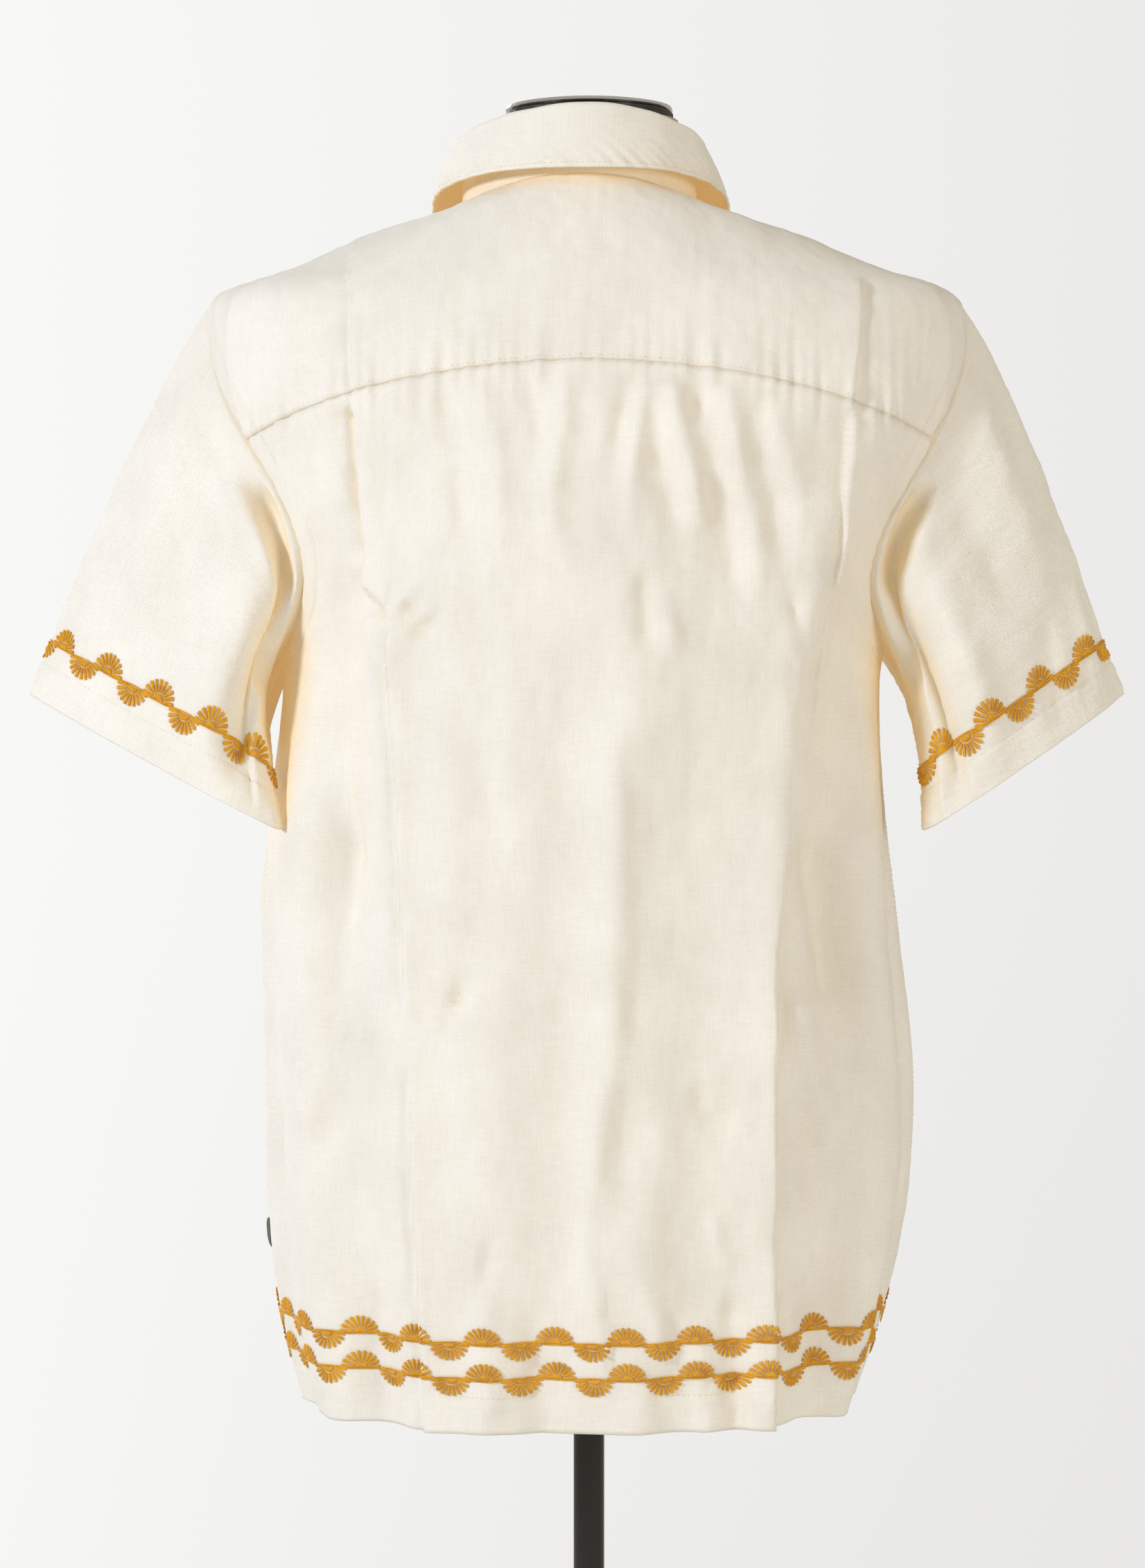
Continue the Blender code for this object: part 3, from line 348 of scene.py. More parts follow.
# Body cloth: a washed cream linen and cotton plain weave, slubby, soft and creased by hand pressing.
# The folds are lines on the trunk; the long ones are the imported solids' own, the rest are finer.
FOLD_HEIGHTS = (1.370, 1.260, 1.050, 0.771)
FOLD_COLUMNS = ("yoke", "chest", "waist", "hem", "top_z", "bottom_z", "width", "depth", "lead")
TRUNK_FOLDS = {
    "left_crease": (36, 38, 31, 28, 1.370, 0.60, 0.016, 0.0045, 0.09),
    "left_back_valley": (48, 50, 44, 40, 1.330, 0.60, 0.021, -0.0055, 0.10),
    "left_back_roll": (64, 64, 59, 53, 1.250, 0.60, 0.022, 0.0050, 0.14),
    "left_side_valley": (82, 80, 76, 70, 1.150, 0.60, 0.020, -0.0045, 0.15),
    "centre_left_roll": (20, 21, 17, 14, 1.340, 0.60, 0.028, 0.0035, 0.12),
    "centre_valley": (2, 2, 3, 2, 1.300, 0.60, 0.018, -0.0030, 0.14),
    "centre_ridge": (-7, -6, -7, -5, 1.260, 0.60, 0.015, 0.0050, 0.14),
    "right_hollow": (-19, -20, -17, -16, 1.360, 0.60, 0.026, -0.0050, 0.08),
    "right_crease": (-41, -43, -32, -33, 1.370, 0.60, 0.018, 0.0060, 0.09),
    "right_back_valley": (-55, -57, -46, -47, 1.350, 0.60, 0.022, -0.0060, 0.12),
    "right_drag_high": (-30, -32, -49, -76, 1.180, 0.92, 0.020, -0.0040, 0.08),
    "right_drag_low": (8, 3, -18, -56, 0.990, 0.80, 0.020, -0.0040, 0.07),
    "right_back_roll": (-70, -72, -60, -60, 1.250, 0.60, 0.021, 0.0060, 0.14),
    "right_side_valley": (-84, -86, -76, -75, 1.180, 0.60, 0.018, -0.0060, 0.14),
    "front_left_valley": (112, 112, 114, 116, 1.250, 0.60, 0.026, -0.0055, 0.14),
    "front_left_roll": (128, 128, 131, 133, 1.330, 0.60, 0.030, 0.0060, 0.10),
    "front_left_drape": (149, 150, 152, 153, 1.300, 0.60, 0.024, -0.0045, 0.14),
    "front_right_valley": (-110, -110, -113, -114, 1.250, 0.60, 0.026, -0.0055, 0.14),
    "front_right_roll": (-126, -126, -129, -131, 1.330, 0.60, 0.030, 0.0060, 0.10),
    "front_right_drape": (-148, -148, -150, -151, 1.300, 0.60, 0.024, -0.0045, 0.14),
}
FOLD_RADIUS = 0.165


def trunk_fold_depth(angle, level):
    """Sum of bell-shaped rolls and valleys exp(-(distance/width)^2) along slanting lines."""
    angle, level = np.broadcast_arrays(np.asarray(angle, float), np.asarray(level, float))
    depth = np.zeros(angle.shape)
    knots = level_at_height(np.array(FOLD_HEIGHTS[::-1]))
    for row in TRUNK_FOLDS.values():
        fold = dict(zip(FOLD_COLUMNS, row))
        top = level_at_height(fold["top_z"])
        bottom = level_at_height(fold["bottom_z"])
        middle = [fold[key] for key in ("hem", "waist", "chest", "yoke")]
        away = (angle - np.radians(np.interp(level, knots, middle))) * FOLD_RADIUS / fold["width"]
        below_top = smooth_step((top - level) / fold["lead"])
        above_bottom = smooth_step((level - bottom) / fold["lead"])
        depth += fold["depth"] * np.exp(-(away**2)) * below_top * above_bottom
    return depth


def trunk_point(angle, level, out=0.0):
    """The cloth's outer face: the bare trunk moved along its normal by the folds and by out."""
    off = np.asarray(trunk_fold_depth(angle, level) + out)[..., None]
    return bare_trunk(angle, level) + trunk_normal(angle, level) * off


hem_level, neck_level = LEVEL_OF["hem"], LEVEL_OF["neck"]
ARMHOLE_BACK = (27, 14)
ARMHOLE_FRONT = (31, 15)
YOKE_END_Q = math.radians(101)
FRONT_SEAM_Q = math.radians(206)
FRONT_SEAM_NECK = math.radians(112)
YOKE_CENTRE_Z = 1.396
YOKE_SEAM_POWER = 1.7
EDGE_EASE = 2.5
SEAM_GAP = 0.0004
LAP_GAP = 0.0012
SIDE_STEPS, ARM_BACK_STEPS, ARM_YOKE_STEPS, ARM_YOKE_FRONT_STEPS, ARM_FRONT_STEPS = 12, 7, 6, 2, 10
BACK_STEPS, NECK_FRONT_STEPS, SHOULDER_STEPS = 28, 6, 7


def armhole(q, side):
    """Angle and level of the armhole at q: the level goes as (1 - cos q)/2, the bow as |sin q|."""
    q = np.asarray(q, float)
    level = LEVEL_OF["armpit"] + (LEVEL_OF["tip"] - LEVEL_OF["armpit"]) * (1.0 - np.cos(q)) / 2.0
    mean = np.where(q <= math.pi, ARMHOLE_BACK[0], ARMHOLE_FRONT[0])
    lean = np.where(q <= math.pi, ARMHOLE_BACK[1], ARMHOLE_FRONT[1])
    bow = np.radians(np.abs(np.sin(q)) * (mean + lean * np.cos(q)))
    angle = math.pi / 2 - np.where(q <= math.pi, bow, -bow)
    return side * angle, level


def armhole_stations(finer):
    """The q of every point on the armhole line, each stretch cut finer than the solids' by a factor."""
    stretches = (
        (0.0, YOKE_END_Q, ARM_BACK_STEPS),
        (YOKE_END_Q, math.pi, ARM_YOKE_STEPS),
        (math.pi, FRONT_SEAM_Q, ARM_YOKE_FRONT_STEPS),
        (FRONT_SEAM_Q, 2 * math.pi, ARM_FRONT_STEPS),
    )
    runs = [np.linspace(start, end, steps * finer + 1)[:-1] for start, end, steps in stretches]
    return np.concatenate(runs + [[2 * math.pi]])


def line(start, end, steps):
    share = np.linspace(0.0, 1.0, steps + 1)[:, None]
    return np.asarray(start) * (1.0 - share) + np.asarray(end) * share


def armhole_line(first, last, side, finer):
    """The armhole between two of the solids' stations, in angle and level."""
    stations = armhole_stations(finer)[first * finer : last * finer + 1]
    return np.stack(armhole(stations, side), axis=1)


YOKE_END = ARM_BACK_STEPS
TIP = YOKE_END + ARM_YOKE_STEPS
FRONT_SEAM = TIP + ARM_YOKE_FRONT_STEPS
ARM_END = FRONT_SEAM + ARM_FRONT_STEPS


def yoke_level(angle):
    """Level of the back yoke seam at a trunk angle: a bow 1 - |sin a / sin end|^p between its ends."""
    end_angle, end_level = armhole(YOKE_END_Q, 1)
    across = np.abs(np.sin(np.clip(angle, -end_angle, end_angle)) / np.sin(end_angle))
    return end_level + (level_at_height(YOKE_CENTRE_Z) - end_level) * (1.0 - across**YOKE_SEAM_POWER)


def yoke_seam(finer):
    """The back yoke seam in angle and level, from end to end."""
    end_angle = armhole(YOKE_END_Q, 1)[0]
    angle = np.linspace(-end_angle, end_angle, BACK_STEPS * finer + 1)
    return np.stack([angle, yoke_level(angle)], axis=1)


TURNS = np.radians(np.linspace(-200.0, 200.0, 801))
RISES = np.linspace(LEVELS[0], LEVELS[-1], 121)


def ring_arcs():
    """Distance round each ring of the bare trunk from centre back: its small chords added up."""
    arc = lengths_along(bare_trunk(TURNS[None, :], RISES[:, None]), 1)
    return arc - arc[:, [len(TURNS) // 2]]


ARCS = ring_arcs()


def between(table, row, column):
    """Bilinear reading of a table at fractional rows and columns."""
    row = np.clip(row, 0.0, table.shape[0] - 1.001)
    column = np.clip(column, 0.0, table.shape[1] - 1.001)
    i, j = row.astype(int), column.astype(int)
    a, b = row - i, column - j
    if table.ndim == 3:
        a, b = a[..., None], b[..., None]
    low = table[i, j] * (1.0 - b) + table[i, j + 1] * b
    high = table[i + 1, j] * (1.0 - b) + table[i + 1, j + 1] * b
    return low * (1.0 - a) + high * a


def flat_arc(angle, level):
    """The flat cloth's distance from centre back of a trunk angle and level."""
    row = (level - RISES[0]) / (RISES[1] - RISES[0])
    column = (angle - TURNS[0]) / (TURNS[1] - TURNS[0])
    return between(ARCS, *np.broadcast_arrays(row, column))


def angle_at_arc(arc, level):
    """The trunk angle at a distance round the flat cloth: each table row read backwards."""
    arc, level = np.broadcast_arrays(np.asarray(arc, float), np.asarray(level, float))
    row = np.clip((level - RISES[0]) / (RISES[1] - RISES[0]), 0.0, len(RISES) - 1.001)
    first = row.astype(int)
    angle = np.empty(arc.shape)
    for i in np.unique(first):
        here = first == i
        share = row[here] - i
        low, high = (np.interp(arc[here], ARCS[i + k], TURNS) for k in (0, 1))
        angle[here] = low * (1.0 - share) + high * share
    return angle


def seen_on_back(x, z):
    """Flat arc and level of the spot of the back that is seen at x and z, in mm, from behind."""
    x, z = np.asarray(x, float) / 1000.0, np.asarray(z, float) / 1000.0
    level = level_at_height(z)
    for _ in range(14):
        ring = ring_at(level)
        reach = ring["side_x"] + np.sign(x) * ring["lean_x"]
        angle = np.sign(x) * np.arcsin(np.clip(np.abs(x) / reach, 0.0, 0.999) ** (ring["square"] / 2.0))
        level = np.clip(level + z - bare_trunk(angle, level)[..., 2], LEVELS[0] - 0.05, LEVELS[-1])
    return np.stack([flat_arc(angle, level), level], axis=-1)


def along_path(arc, level, path):
    """Signed distance from a path on the flat cloth, positive to the left of one that runs down
    the back, and the share of its length passed at the nearest point of its straight runs."""
    runs = np.diff(path, axis=0)
    sizes = np.linalg.norm(runs, axis=1)
    passed = np.concatenate([[0.0], np.cumsum(sizes)])
    least = np.full(arc.shape, 1e6)
    away, share = np.zeros(arc.shape), np.zeros(arc.shape)
    for start, run, size, before in zip(path, runs, sizes, passed):
        off_x, off_y = arc - start[0], level - start[1]
        t = np.clip((off_x * run[0] + off_y * run[1]) / size**2, 0.0, 1.0)
        gap = np.hypot(off_x - t * run[0], off_y - t * run[1])
        side = np.where(run[0] * off_y - run[1] * off_x >= 0.0, 1.0, -1.0)
        nearer = gap < least
        least = np.where(nearer, gap, least)
        away = np.where(nearer, gap * side, away)
        share = np.where(nearer, (before + t * size) / passed[-1], share)
    return away, share


def eased_path(knots, steps=24):
    """A smooth path through a few given knots: natural splines over the knots' distances."""
    knots = np.asarray(knots, float)
    passed = distances(knots)
    at = np.linspace(0.0, passed[-1], steps)
    return np.stack([spline(passed, knots[:, i], at) for i in (0, 1)], axis=1)


PRESS_JOIN = 0.0042


def crease_relief(arc, level, creases):
    """Adds up listed creases. A roll is a bell exp(-(d/w)^2); a press is a sharp edge with its
    own height and reach on either side, exp(-|d|/w), joined over PRESS_JOIN. Both swell and thin
    along their length, and fade at the ends over the two shares."""
    relief = np.zeros(arc.shape)
    for number, (style, sizes, fade_in, fade_out, path) in enumerate(creases):
        away, share = along_path(arc, level, path)
        ends = smooth_step(share / fade_in) * smooth_step((1.0 - share) / fade_out)
        swell = 1.0 + 0.22 * np.sin(share * 11.0 + number * 2.1) + 0.12 * np.sin(share * 29.0 + number)
        if style == "roll":
            high, wide_left, wide_right = np.array(sizes) / 1000.0
            shape = high * np.exp(-((away / np.where(away > 0.0, wide_left, wide_right)) ** 2))
        else:
            high_left, wide_left, high_right, wide_right = np.array(sizes) / 1000.0
            join = smooth_step(away / PRESS_JOIN + 0.5)
            reach = np.where(away > 0.0, wide_left, wide_right)
            shape = (high_left * join + high_right * (1.0 - join)) * np.exp(-np.abs(away) / reach)
        relief += shape * ends * swell
    return relief


def rumple(arc, level, high, seed, sizes, grain=0.35):
    """Uneven cloth: sines of mixed length and direction, steeper across than along the warp."""
    draw = np.random.default_rng(seed)
    relief = np.zeros(np.broadcast(arc, level).shape)
    for size in sizes:
        for _ in range(5):
            turn = draw.normal(0.0, grain)
            phase, pull = draw.uniform(0.0, 2.0 * math.pi, 2)
            wave = 2.0 * math.pi / (size * draw.uniform(0.75, 1.35))
            bend = 0.6 * np.sin((level * 0.9 + arc * 0.2) * wave * 0.45 + pull)
            relief += size * np.sin((arc * math.cos(turn) + level * math.sin(turn)) * wave + phase + bend)
    return high * (relief / (5.0 * sum(sizes)))


# Creases of the back, from behind: a roll has its height out of the cloth and its reach to the left
# and right, a press has height and reach on the left and then on the right, all in mm; then come the
# shares over which it fades in and out, and its knots, x towards the left side and height in mm.
BACK_CREASES = (
    ("press", (-1.4, 9, 0.8, 12), 0.4, 0.1, ((141, 1473), (142, 1420), (141, 1374))),
    ("press", (-4.6, 9, 0.4, 14), 0.06, 0.12, ((141, 1371), (138, 1340), (133, 1302), (130, 1274))),
    ("press", (-3.2, 8, 0.8, 9), 0.2, 0.2,
     ((131, 1276), (133, 1262), (126, 1257), (120, 1250), (118, 1240))),
    ("press", (-1.9, 15, 1.7, 14), 0.1, 0.2,
     ((119, 1250), (115, 1190), (111, 1130), (109, 1060), (107, 1000))),
    ("press", (-1.8, 13, 1.5, 14), 0.2, 0.05, ((107, 1004), (105, 940), (99, 850), (95, 770))),
    ("roll", (-3.6, 17, 12), 0.3, 0.4, ((141, 1160), (146, 1100), (152, 1040), (155, 990))),
    ("roll", (2.0, 16, 14), 0.3, 0.3, ((133, 1250), (131, 1180), (132, 1100))),
    ("roll", (-2.2, 9, 12), 0.3, 0.3, ((150, 975), (158, 940), (170, 915))),
    ("press", (0.9, 22, -0.8, 10), 0.3, 0.1, ((-163, 1455), (-160, 1405), (-155, 1368))),
    ("press", (-1.5, 9, 1.4, 24), 0.05, 0.15, ((-154, 1366), (-149, 1320), (-145, 1280), (-139, 1252))),
    ("press", (-1.0, 12, 1.0, 18), 0.2, 0.35, ((-140, 1258), (-135, 1215), (-130, 1180), (-125, 1150))),
    ("press", (1.6, 26, -1.8, 14), 0.25, 0.04,
     ((-123, 1145), (-116, 1100), (-109, 1055), (-108, 990), (-106, 770))),
    ("roll", (-3.2, 13, 16), 0.2, 0.3, ((-131, 1128), (-140, 1075), (-150, 1030), (-160, 995))),
    ("roll", (-2.6, 11, 14), 0.25, 0.25, ((-112, 1000), (-124, 960), (-135, 915), (-148, 880))),
    ("roll", (-2.2, 11, 13), 0.2, 0.3, ((-110, 905), (-118, 870), (-128, 830), (-138, 800))),
    ("roll", (2.0, 11, 11), 0.2, 0.3, ((-118, 1035), (-130, 990), (-141, 955), (-150, 925))),
    ("roll", (2.2, 14, 11), 0.15, 0.2,
     ((-12, 1200), (-16, 1130), (-12, 1050), (-10, 980), (-5, 900), (-8, 770))),
    ("roll", (-2.2, 11, 20), 0.15, 0.2, ((-23, 1190), (-29, 1120), (-30, 1020), (-22, 960), (-20, 880))),
    ("press", (0.7, 8, -0.9, 12), 0.2, 0.2, ((-9, 985), (-6, 930), (-3, 890), (-9, 830), (-12, 780))),
    ("roll", (1.7, 8, 8), 0.1, 0.4, ((-36, 1385), (-30, 1365), (-24, 1330), (-22, 1290))),
    ("roll", (-1.6, 6, 7), 0.05, 0.5, ((-26, 1388), (-22, 1370), (-17, 1350), (-20, 1300))),
    ("roll", (1.9, 9, 7), 0.08, 0.4, ((-47, 1387), (-52, 1360), (-60, 1325), (-68, 1285))),
    ("roll", (-1.7, 9, 9), 0.1, 0.4, ((-38, 1380), (-42, 1340), (-50, 1295), (-54, 1260))),
    ("roll", (1.9, 8, 8), 0.08, 0.4, ((-76, 1384), (-83, 1350), (-92, 1310), (-100, 1265))),
    ("roll", (-1.8, 11, 9), 0.1, 0.35, ((-64, 1385), (-74, 1340), (-84, 1290), (-88, 1230))),
    ("roll", (-1.6, 9, 12), 0.15, 0.4, ((-96, 1376), (-104, 1340), (-112, 1300), (-118, 1250))),
    ("roll", (1.4, 9, 9), 0.15, 0.4, ((-104, 1376), (-112, 1345), (-122, 1305), (-129, 1262))),
    ("roll", (-1.3, 6, 6), 0.3, 0.3, ((-30, 1275), (-33, 1245), (-31, 1220))),
    ("roll", (1.3, 6, 7), 0.3, 0.3, ((-40, 1262), (-47, 1240), (-50, 1218))),
    ("roll", (-1.2, 5, 5), 0.3, 0.4, ((-117, 1262), (-122, 1240), (-124, 1220))),
    ("roll", (-1.2, 7, 9), 0.1, 0.4, ((88, 1380), (80, 1350), (76, 1310), (70, 1270))),
    ("roll", (1.0, 8, 9), 0.1, 0.4, ((64, 1384), (58, 1350), (50, 1300), (44, 1250))),
    ("roll", (-1.0, 6, 7), 0.1, 0.5, ((33, 1386), (30, 1360), (28, 1320))),
    ("roll", (1.0, 5, 6), 0.1, 0.5, ((16, 1387), (14, 1365), (15, 1340))),
    ("roll", (-1.4, 16, 14), 0.25, 0.3, ((66, 1290), (62, 1200), (60, 1100), (64, 1010))),
    ("roll", (1.2, 16, 14), 0.25, 0.3, ((88, 1190), (84, 1120), (83, 1040))),
    ("roll", (-1.0, 8, 8), 0.3, 0.4, ((172, 1340), (164, 1310), (158, 1270))),
    ("press", (1.3, 5, -1.5, 7), 0.15, 0.3, ((160, 998), (150, 996), (136, 1000), (124, 996), (108, 1003))),
    ("press", (1.1, 5, -1.4, 6), 0.15, 0.3, ((106, 1012), (92, 1011), (80, 1016), (66, 1013))),
    ("press", (0.9, 5, -1.1, 6), 0.2, 0.3, ((30, 1015), (10, 1012), (-8, 1014), (-30, 1012))),
    ("roll", (-2.4, 6, 6), 0.2, 0.4, ((70, 1040), (76, 1022), (84, 1008))),
    ("roll", (1.0, 7, 7), 0.3, 0.3, ((-64, 988), (-84, 972), (-100, 975))),
    ("roll", (-1.2, 6, 6), 0.3, 0.3, ((-60, 975), (-72, 955), (-92, 952))),
    ("roll", (-1.0, 5, 5), 0.3, 0.3, ((54, 895), (60, 870), (63, 845))),
    ("roll", (1.0, 5, 5), 0.3, 0.3, ((-70, 905), (-76, 880), (-84, 858))),
    ("roll", (-1.2, 5, 6), 0.3, 0.3, ((-62, 808), (-80, 798), (-98, 804))),
    ("roll", (1.1, 6, 6), 0.3, 0.3, ((-32, 862), (-40, 838), (-44, 800))),
    ("roll", (1.8, 6, 7), 0.2, 0.3, ((112, 1262), (102, 1254), (94, 1240))),
    ("roll", (-1.8, 5, 7), 0.2, 0.3, ((110, 1254), (101, 1243), (96, 1228))),
    ("roll", (1.6, 8, 8), 0.2, 0.3, ((22, 1384), (20, 1350), (22, 1310), (18, 1270))),
    ("roll", (-2.2, 13, 15), 0.2, 0.3, ((130, 880), (124, 820), (120, 770))),
    ("roll", (1.8, 9, 10), 0.2, 0.2, ((62, 860), (60, 815), (61, 770))),
    ("roll", (-1.8, 9, 9), 0.2, 0.2, ((34, 850), (30, 810), (28, 770))),
    ("roll", (1.8, 9, 10), 0.2, 0.2, ((-62, 846), (-66, 808), (-66, 770))),
    ("roll", (-1.8, 8, 9), 0.2, 0.2, ((-84, 856), (-86, 810), (-88, 770))),
)
# Creases of the sides and fronts: knots are degrees round from centre back and height in mm.
SIDE_CREASES = (
    ("roll", (-2.0, 10, 12), 0.2, 0.3, ((100, 1190), (104, 1120), (112, 1050), (118, 960))),
    ("roll", (1.6, 9, 10), 0.2, 0.3, ((96, 1120), (97, 1040), (101, 960))),
    ("press", (0.8, 14, -1.0, 12), 0.2, 0.1, ((141, 1320), (142, 1180), (142, 1000), (143, 775))),
    ("press", (-1.0, 12, 0.8, 14), 0.2, 0.1, ((-138, 1320), (-139, 1180), (-140, 1000), (-141, 775))),
    ("roll", (1.5, 9, 8), 0.1, 0.4, ((118, 1330), (126, 1290), (133, 1240), (138, 1190))),
    ("roll", (-1.6, 9, 8), 0.1, 0.4, ((-116, 1335), (-124, 1290), (-132, 1240), (-136, 1180))),
    ("roll", (-1.4, 11, 10), 0.2, 0.3, ((126, 1180), (124, 1080), (122, 980), (124, 860))),
    ("roll", (1.5, 11, 9), 0.2, 0.3, ((-124, 1170), (-121, 1080), (-122, 960), (-120, 850))),
    ("roll", (-1.8, 9, 11), 0.2, 0.3, ((-100, 1185), (-104, 1110), (-112, 1040), (-120, 985))),
    ("roll", (-1.5, 8, 9), 0.2, 0.3, ((-98, 930), (-106, 880), (-114, 830), (-118, 790))),
    ("press", (0.5, 6, -0.6, 6), 0.2, 0.2, ((168, 1008), (150, 1003), (128, 1006), (105, 1001))),
    ("press", (0.5, 6, -0.6, 6), 0.2, 0.2, ((-105, 1004), (-128, 1007), (-150, 1002), (-168, 1006))),
    ("roll", (-1.0, 6, 7), 0.3, 0.4, ((158, 1330), (154, 1290), (152, 1250))),
    ("roll", (-1.0, 6, 7), 0.3, 0.4, ((-157, 1325), (-153, 1285), (-151, 1245))),
    ("roll", (1.2, 8, 8), 0.3, 0.3, ((150, 930), (154, 880), (156, 820))),
    ("roll", (1.2, 8, 8), 0.3, 0.3, ((-152, 960), (-149, 900), (-150, 840))),
)


def laid_out(creases, place):
    """The crease rows with their knots turned into smooth paths on the flat cloth."""
    laid = []
    for style, sizes, fade_in, fade_out, knots in creases:
        knots = np.array(knots, float)
        laid.append((style, sizes, fade_in, fade_out, eased_path(place(knots[:, 0], knots[:, 1]))))
    return laid


def seen_round(degrees, z):
    """Flat arc and level of a spot given by its degrees round the trunk and its height in mm."""
    angle = np.radians(degrees)
    level = level_at_height(z / 1000.0, "side_z")
    for _ in range(14):
        level = np.clip(level + z / 1000.0 - bare_trunk(angle, level)[..., 2], LEVELS[0] - 0.05, LEVELS[-1])
    return np.stack([flat_arc(angle, level), level], axis=-1)


CREASES = laid_out(BACK_CREASES, seen_on_back) + laid_out(SIDE_CREASES, seen_round)
CREASE_STRENGTH = 2.1
HEM_DEPTH = 0.022
ARMHOLE_BAND = 0.0125
ARMHOLE_ROUND = 0.49
FURROW_DEEP = 0.0005
PUCKER_SIZES = (0.0085, 0.0125, 0.0205)
YOKE_PUCKERS, ARMHOLE_PUCKERS, HEM_PUCKERS = 0.0026, 0.0009, 0.0006
BAND_HIGH, HEM_HIGH = 0.00045, 0.0005
# Each rumple has its height, its seed, its sizes and its grain.
CREASE_DRIFT = (0.0022, 3, (0.05, 0.09), 1.2)
BODY_RUMPLES = ((0.0019, 5, (0.016, 0.028, 0.05, 0.09), 0.35), (0.0006, 7, (0.008, 0.012, 0.018), 0.8))
HEM_WAVE = (0.0016, 11, (0.02, 0.035, 0.06), 0.35)
YOKE_STITCH_UP = 0.0028


def seam_furrow(away, width=0.0009):
    """A stitched line pressed into the cloth: -exp(-(d/w)^2) times its depth."""
    return -FURROW_DEEP * np.exp(-((away / width) ** 2))


def seam_puckers(along, away, reach, seed):
    """Cloth drawn up by a seam: short ridges square to it, uneven in spacing and strength."""
    draw = np.random.default_rng(seed)
    wave = np.zeros(np.broadcast(along, away).shape)
    for size in PUCKER_SIZES:
        phase, pull = draw.uniform(0.0, 2.0 * math.pi, 2)
        strength = 0.6 + 0.4 * np.sin(along * 2.0 * math.pi / 0.083 + pull)
        wave += strength * np.sin(along * 2.0 * math.pi / size + phase + 1.2 * np.sin(along * 71.0 + pull))
    return wave * np.exp(-np.abs(away) / reach) / 3.0


ARMHOLE_RINGS = {}
for side in (-1, 1):
    ring_angle, ring_level = armhole(np.linspace(0.0, 2.0 * math.pi, 73), side)
    ARMHOLE_RINGS[side] = np.stack([flat_arc(ring_angle, ring_level), ring_level], axis=1)


def body_relief(angle, level):
    """Fine relief of the body cloth: creases, rumpled linen, puckered seams, the felled bands beside
    the armholes, and the doubled hem below its stitching."""
    angle, level = np.broadcast_arrays(np.asarray(angle, float), np.asarray(level, float))
    arc = flat_arc(angle, level)
    drift = rumple(arc, level, *CREASE_DRIFT)
    relief = CREASE_STRENGTH * crease_relief(arc + drift, level, CREASES)
    for rumples in BODY_RUMPLES:
        relief += rumple(arc, level, *rumples)
    on_back = smooth_step((1.75 - np.abs(angle)) / 0.2)
    from_yoke = level - yoke_level(angle)
    relief += on_back * YOKE_PUCKERS * seam_puckers(arc, from_yoke, 0.017, 21)
    relief += on_back * (seam_furrow(from_yoke - YOKE_STITCH_UP) + 0.4 * seam_furrow(from_yoke, 0.0012))
    relief += on_back * 0.0004 * smooth_step(from_yoke / 0.0012) * smooth_step((0.006 - from_yoke) / 0.003)
    for ring in ARMHOLE_RINGS.values():
        away, share = along_path(arc, level, ring)
        away = np.abs(away)
        relief += ARMHOLE_PUCKERS * seam_puckers(share * ARMHOLE_ROUND, away, 0.009, 22)
        relief += BAND_HIGH * smooth_step((ARMHOLE_BAND - away) / 0.0012)
        relief += seam_furrow(away - ARMHOLE_BAND) + 1.2 * seam_furrow(away, 0.0012)
    above = level - LEVELS[0] - HEM_DEPTH
    relief += HEM_HIGH * smooth_step(0.5 - above / 0.0015) + seam_furrow(above)
    relief += HEM_PUCKERS * seam_puckers(arc + above * 0.5, above, 0.012, 23)
    hem_wave = rumple(arc, level * 0.2, *HEM_WAVE)
    relief += hem_wave * smooth_step(1.0 - (level - LEVELS[0]) / 0.06)
    return relief


def body_point(angle, level, out=0.0):
    """The finished cloth: the solids' surface with the fine relief on it."""
    return trunk_point(angle, level, body_relief(angle, level) + out)


def patch(bottom, top, left, right, ease=1.0):
    """Rows run straight from bottom to top; what the sides differ from them fades by a power."""
    v = np.linspace(0.0, 1.0, len(left))[:, None, None]
    u = np.linspace(0.0, 1.0, len(bottom))[None, :, None]
    rows = bottom[None] * (1.0 - v) + top[None] * v
    from_left = (left[:, None] - rows[:, :1]) * (1.0 - u) ** ease
    from_right = (right[:, None] - rows[:, -1:]) * u**ease
    return rows + from_left + from_right


def drawn_in(grid, bottom=True, top=True, left=True, right=True):
    """The grid with its sewn edges moved in by half the seam gap."""
    grid = grid.copy()
    columns = grid.swapaxes(0, 1)
    edges = ((bottom, grid, 0, 1), (top, grid, -1, -2), (left, columns, 0, 1), (right, columns, -1, -2))
    for sewn, lines, edge, beside in edges:
        if sewn:
            lines[edge] += unit(lines[beside] - lines[edge]) * (SEAM_GAP / 2.0)
    return grid


def grid_lengths(grid):
    """Flat coordinates of a cloth grid in metres: mean lengths run along its rows and columns."""
    u = lengths_along(grid, 1)
    u -= u.mean(axis=1, keepdims=True)
    v = lengths_along(grid, 0)
    return np.stack([u, v], axis=-1)


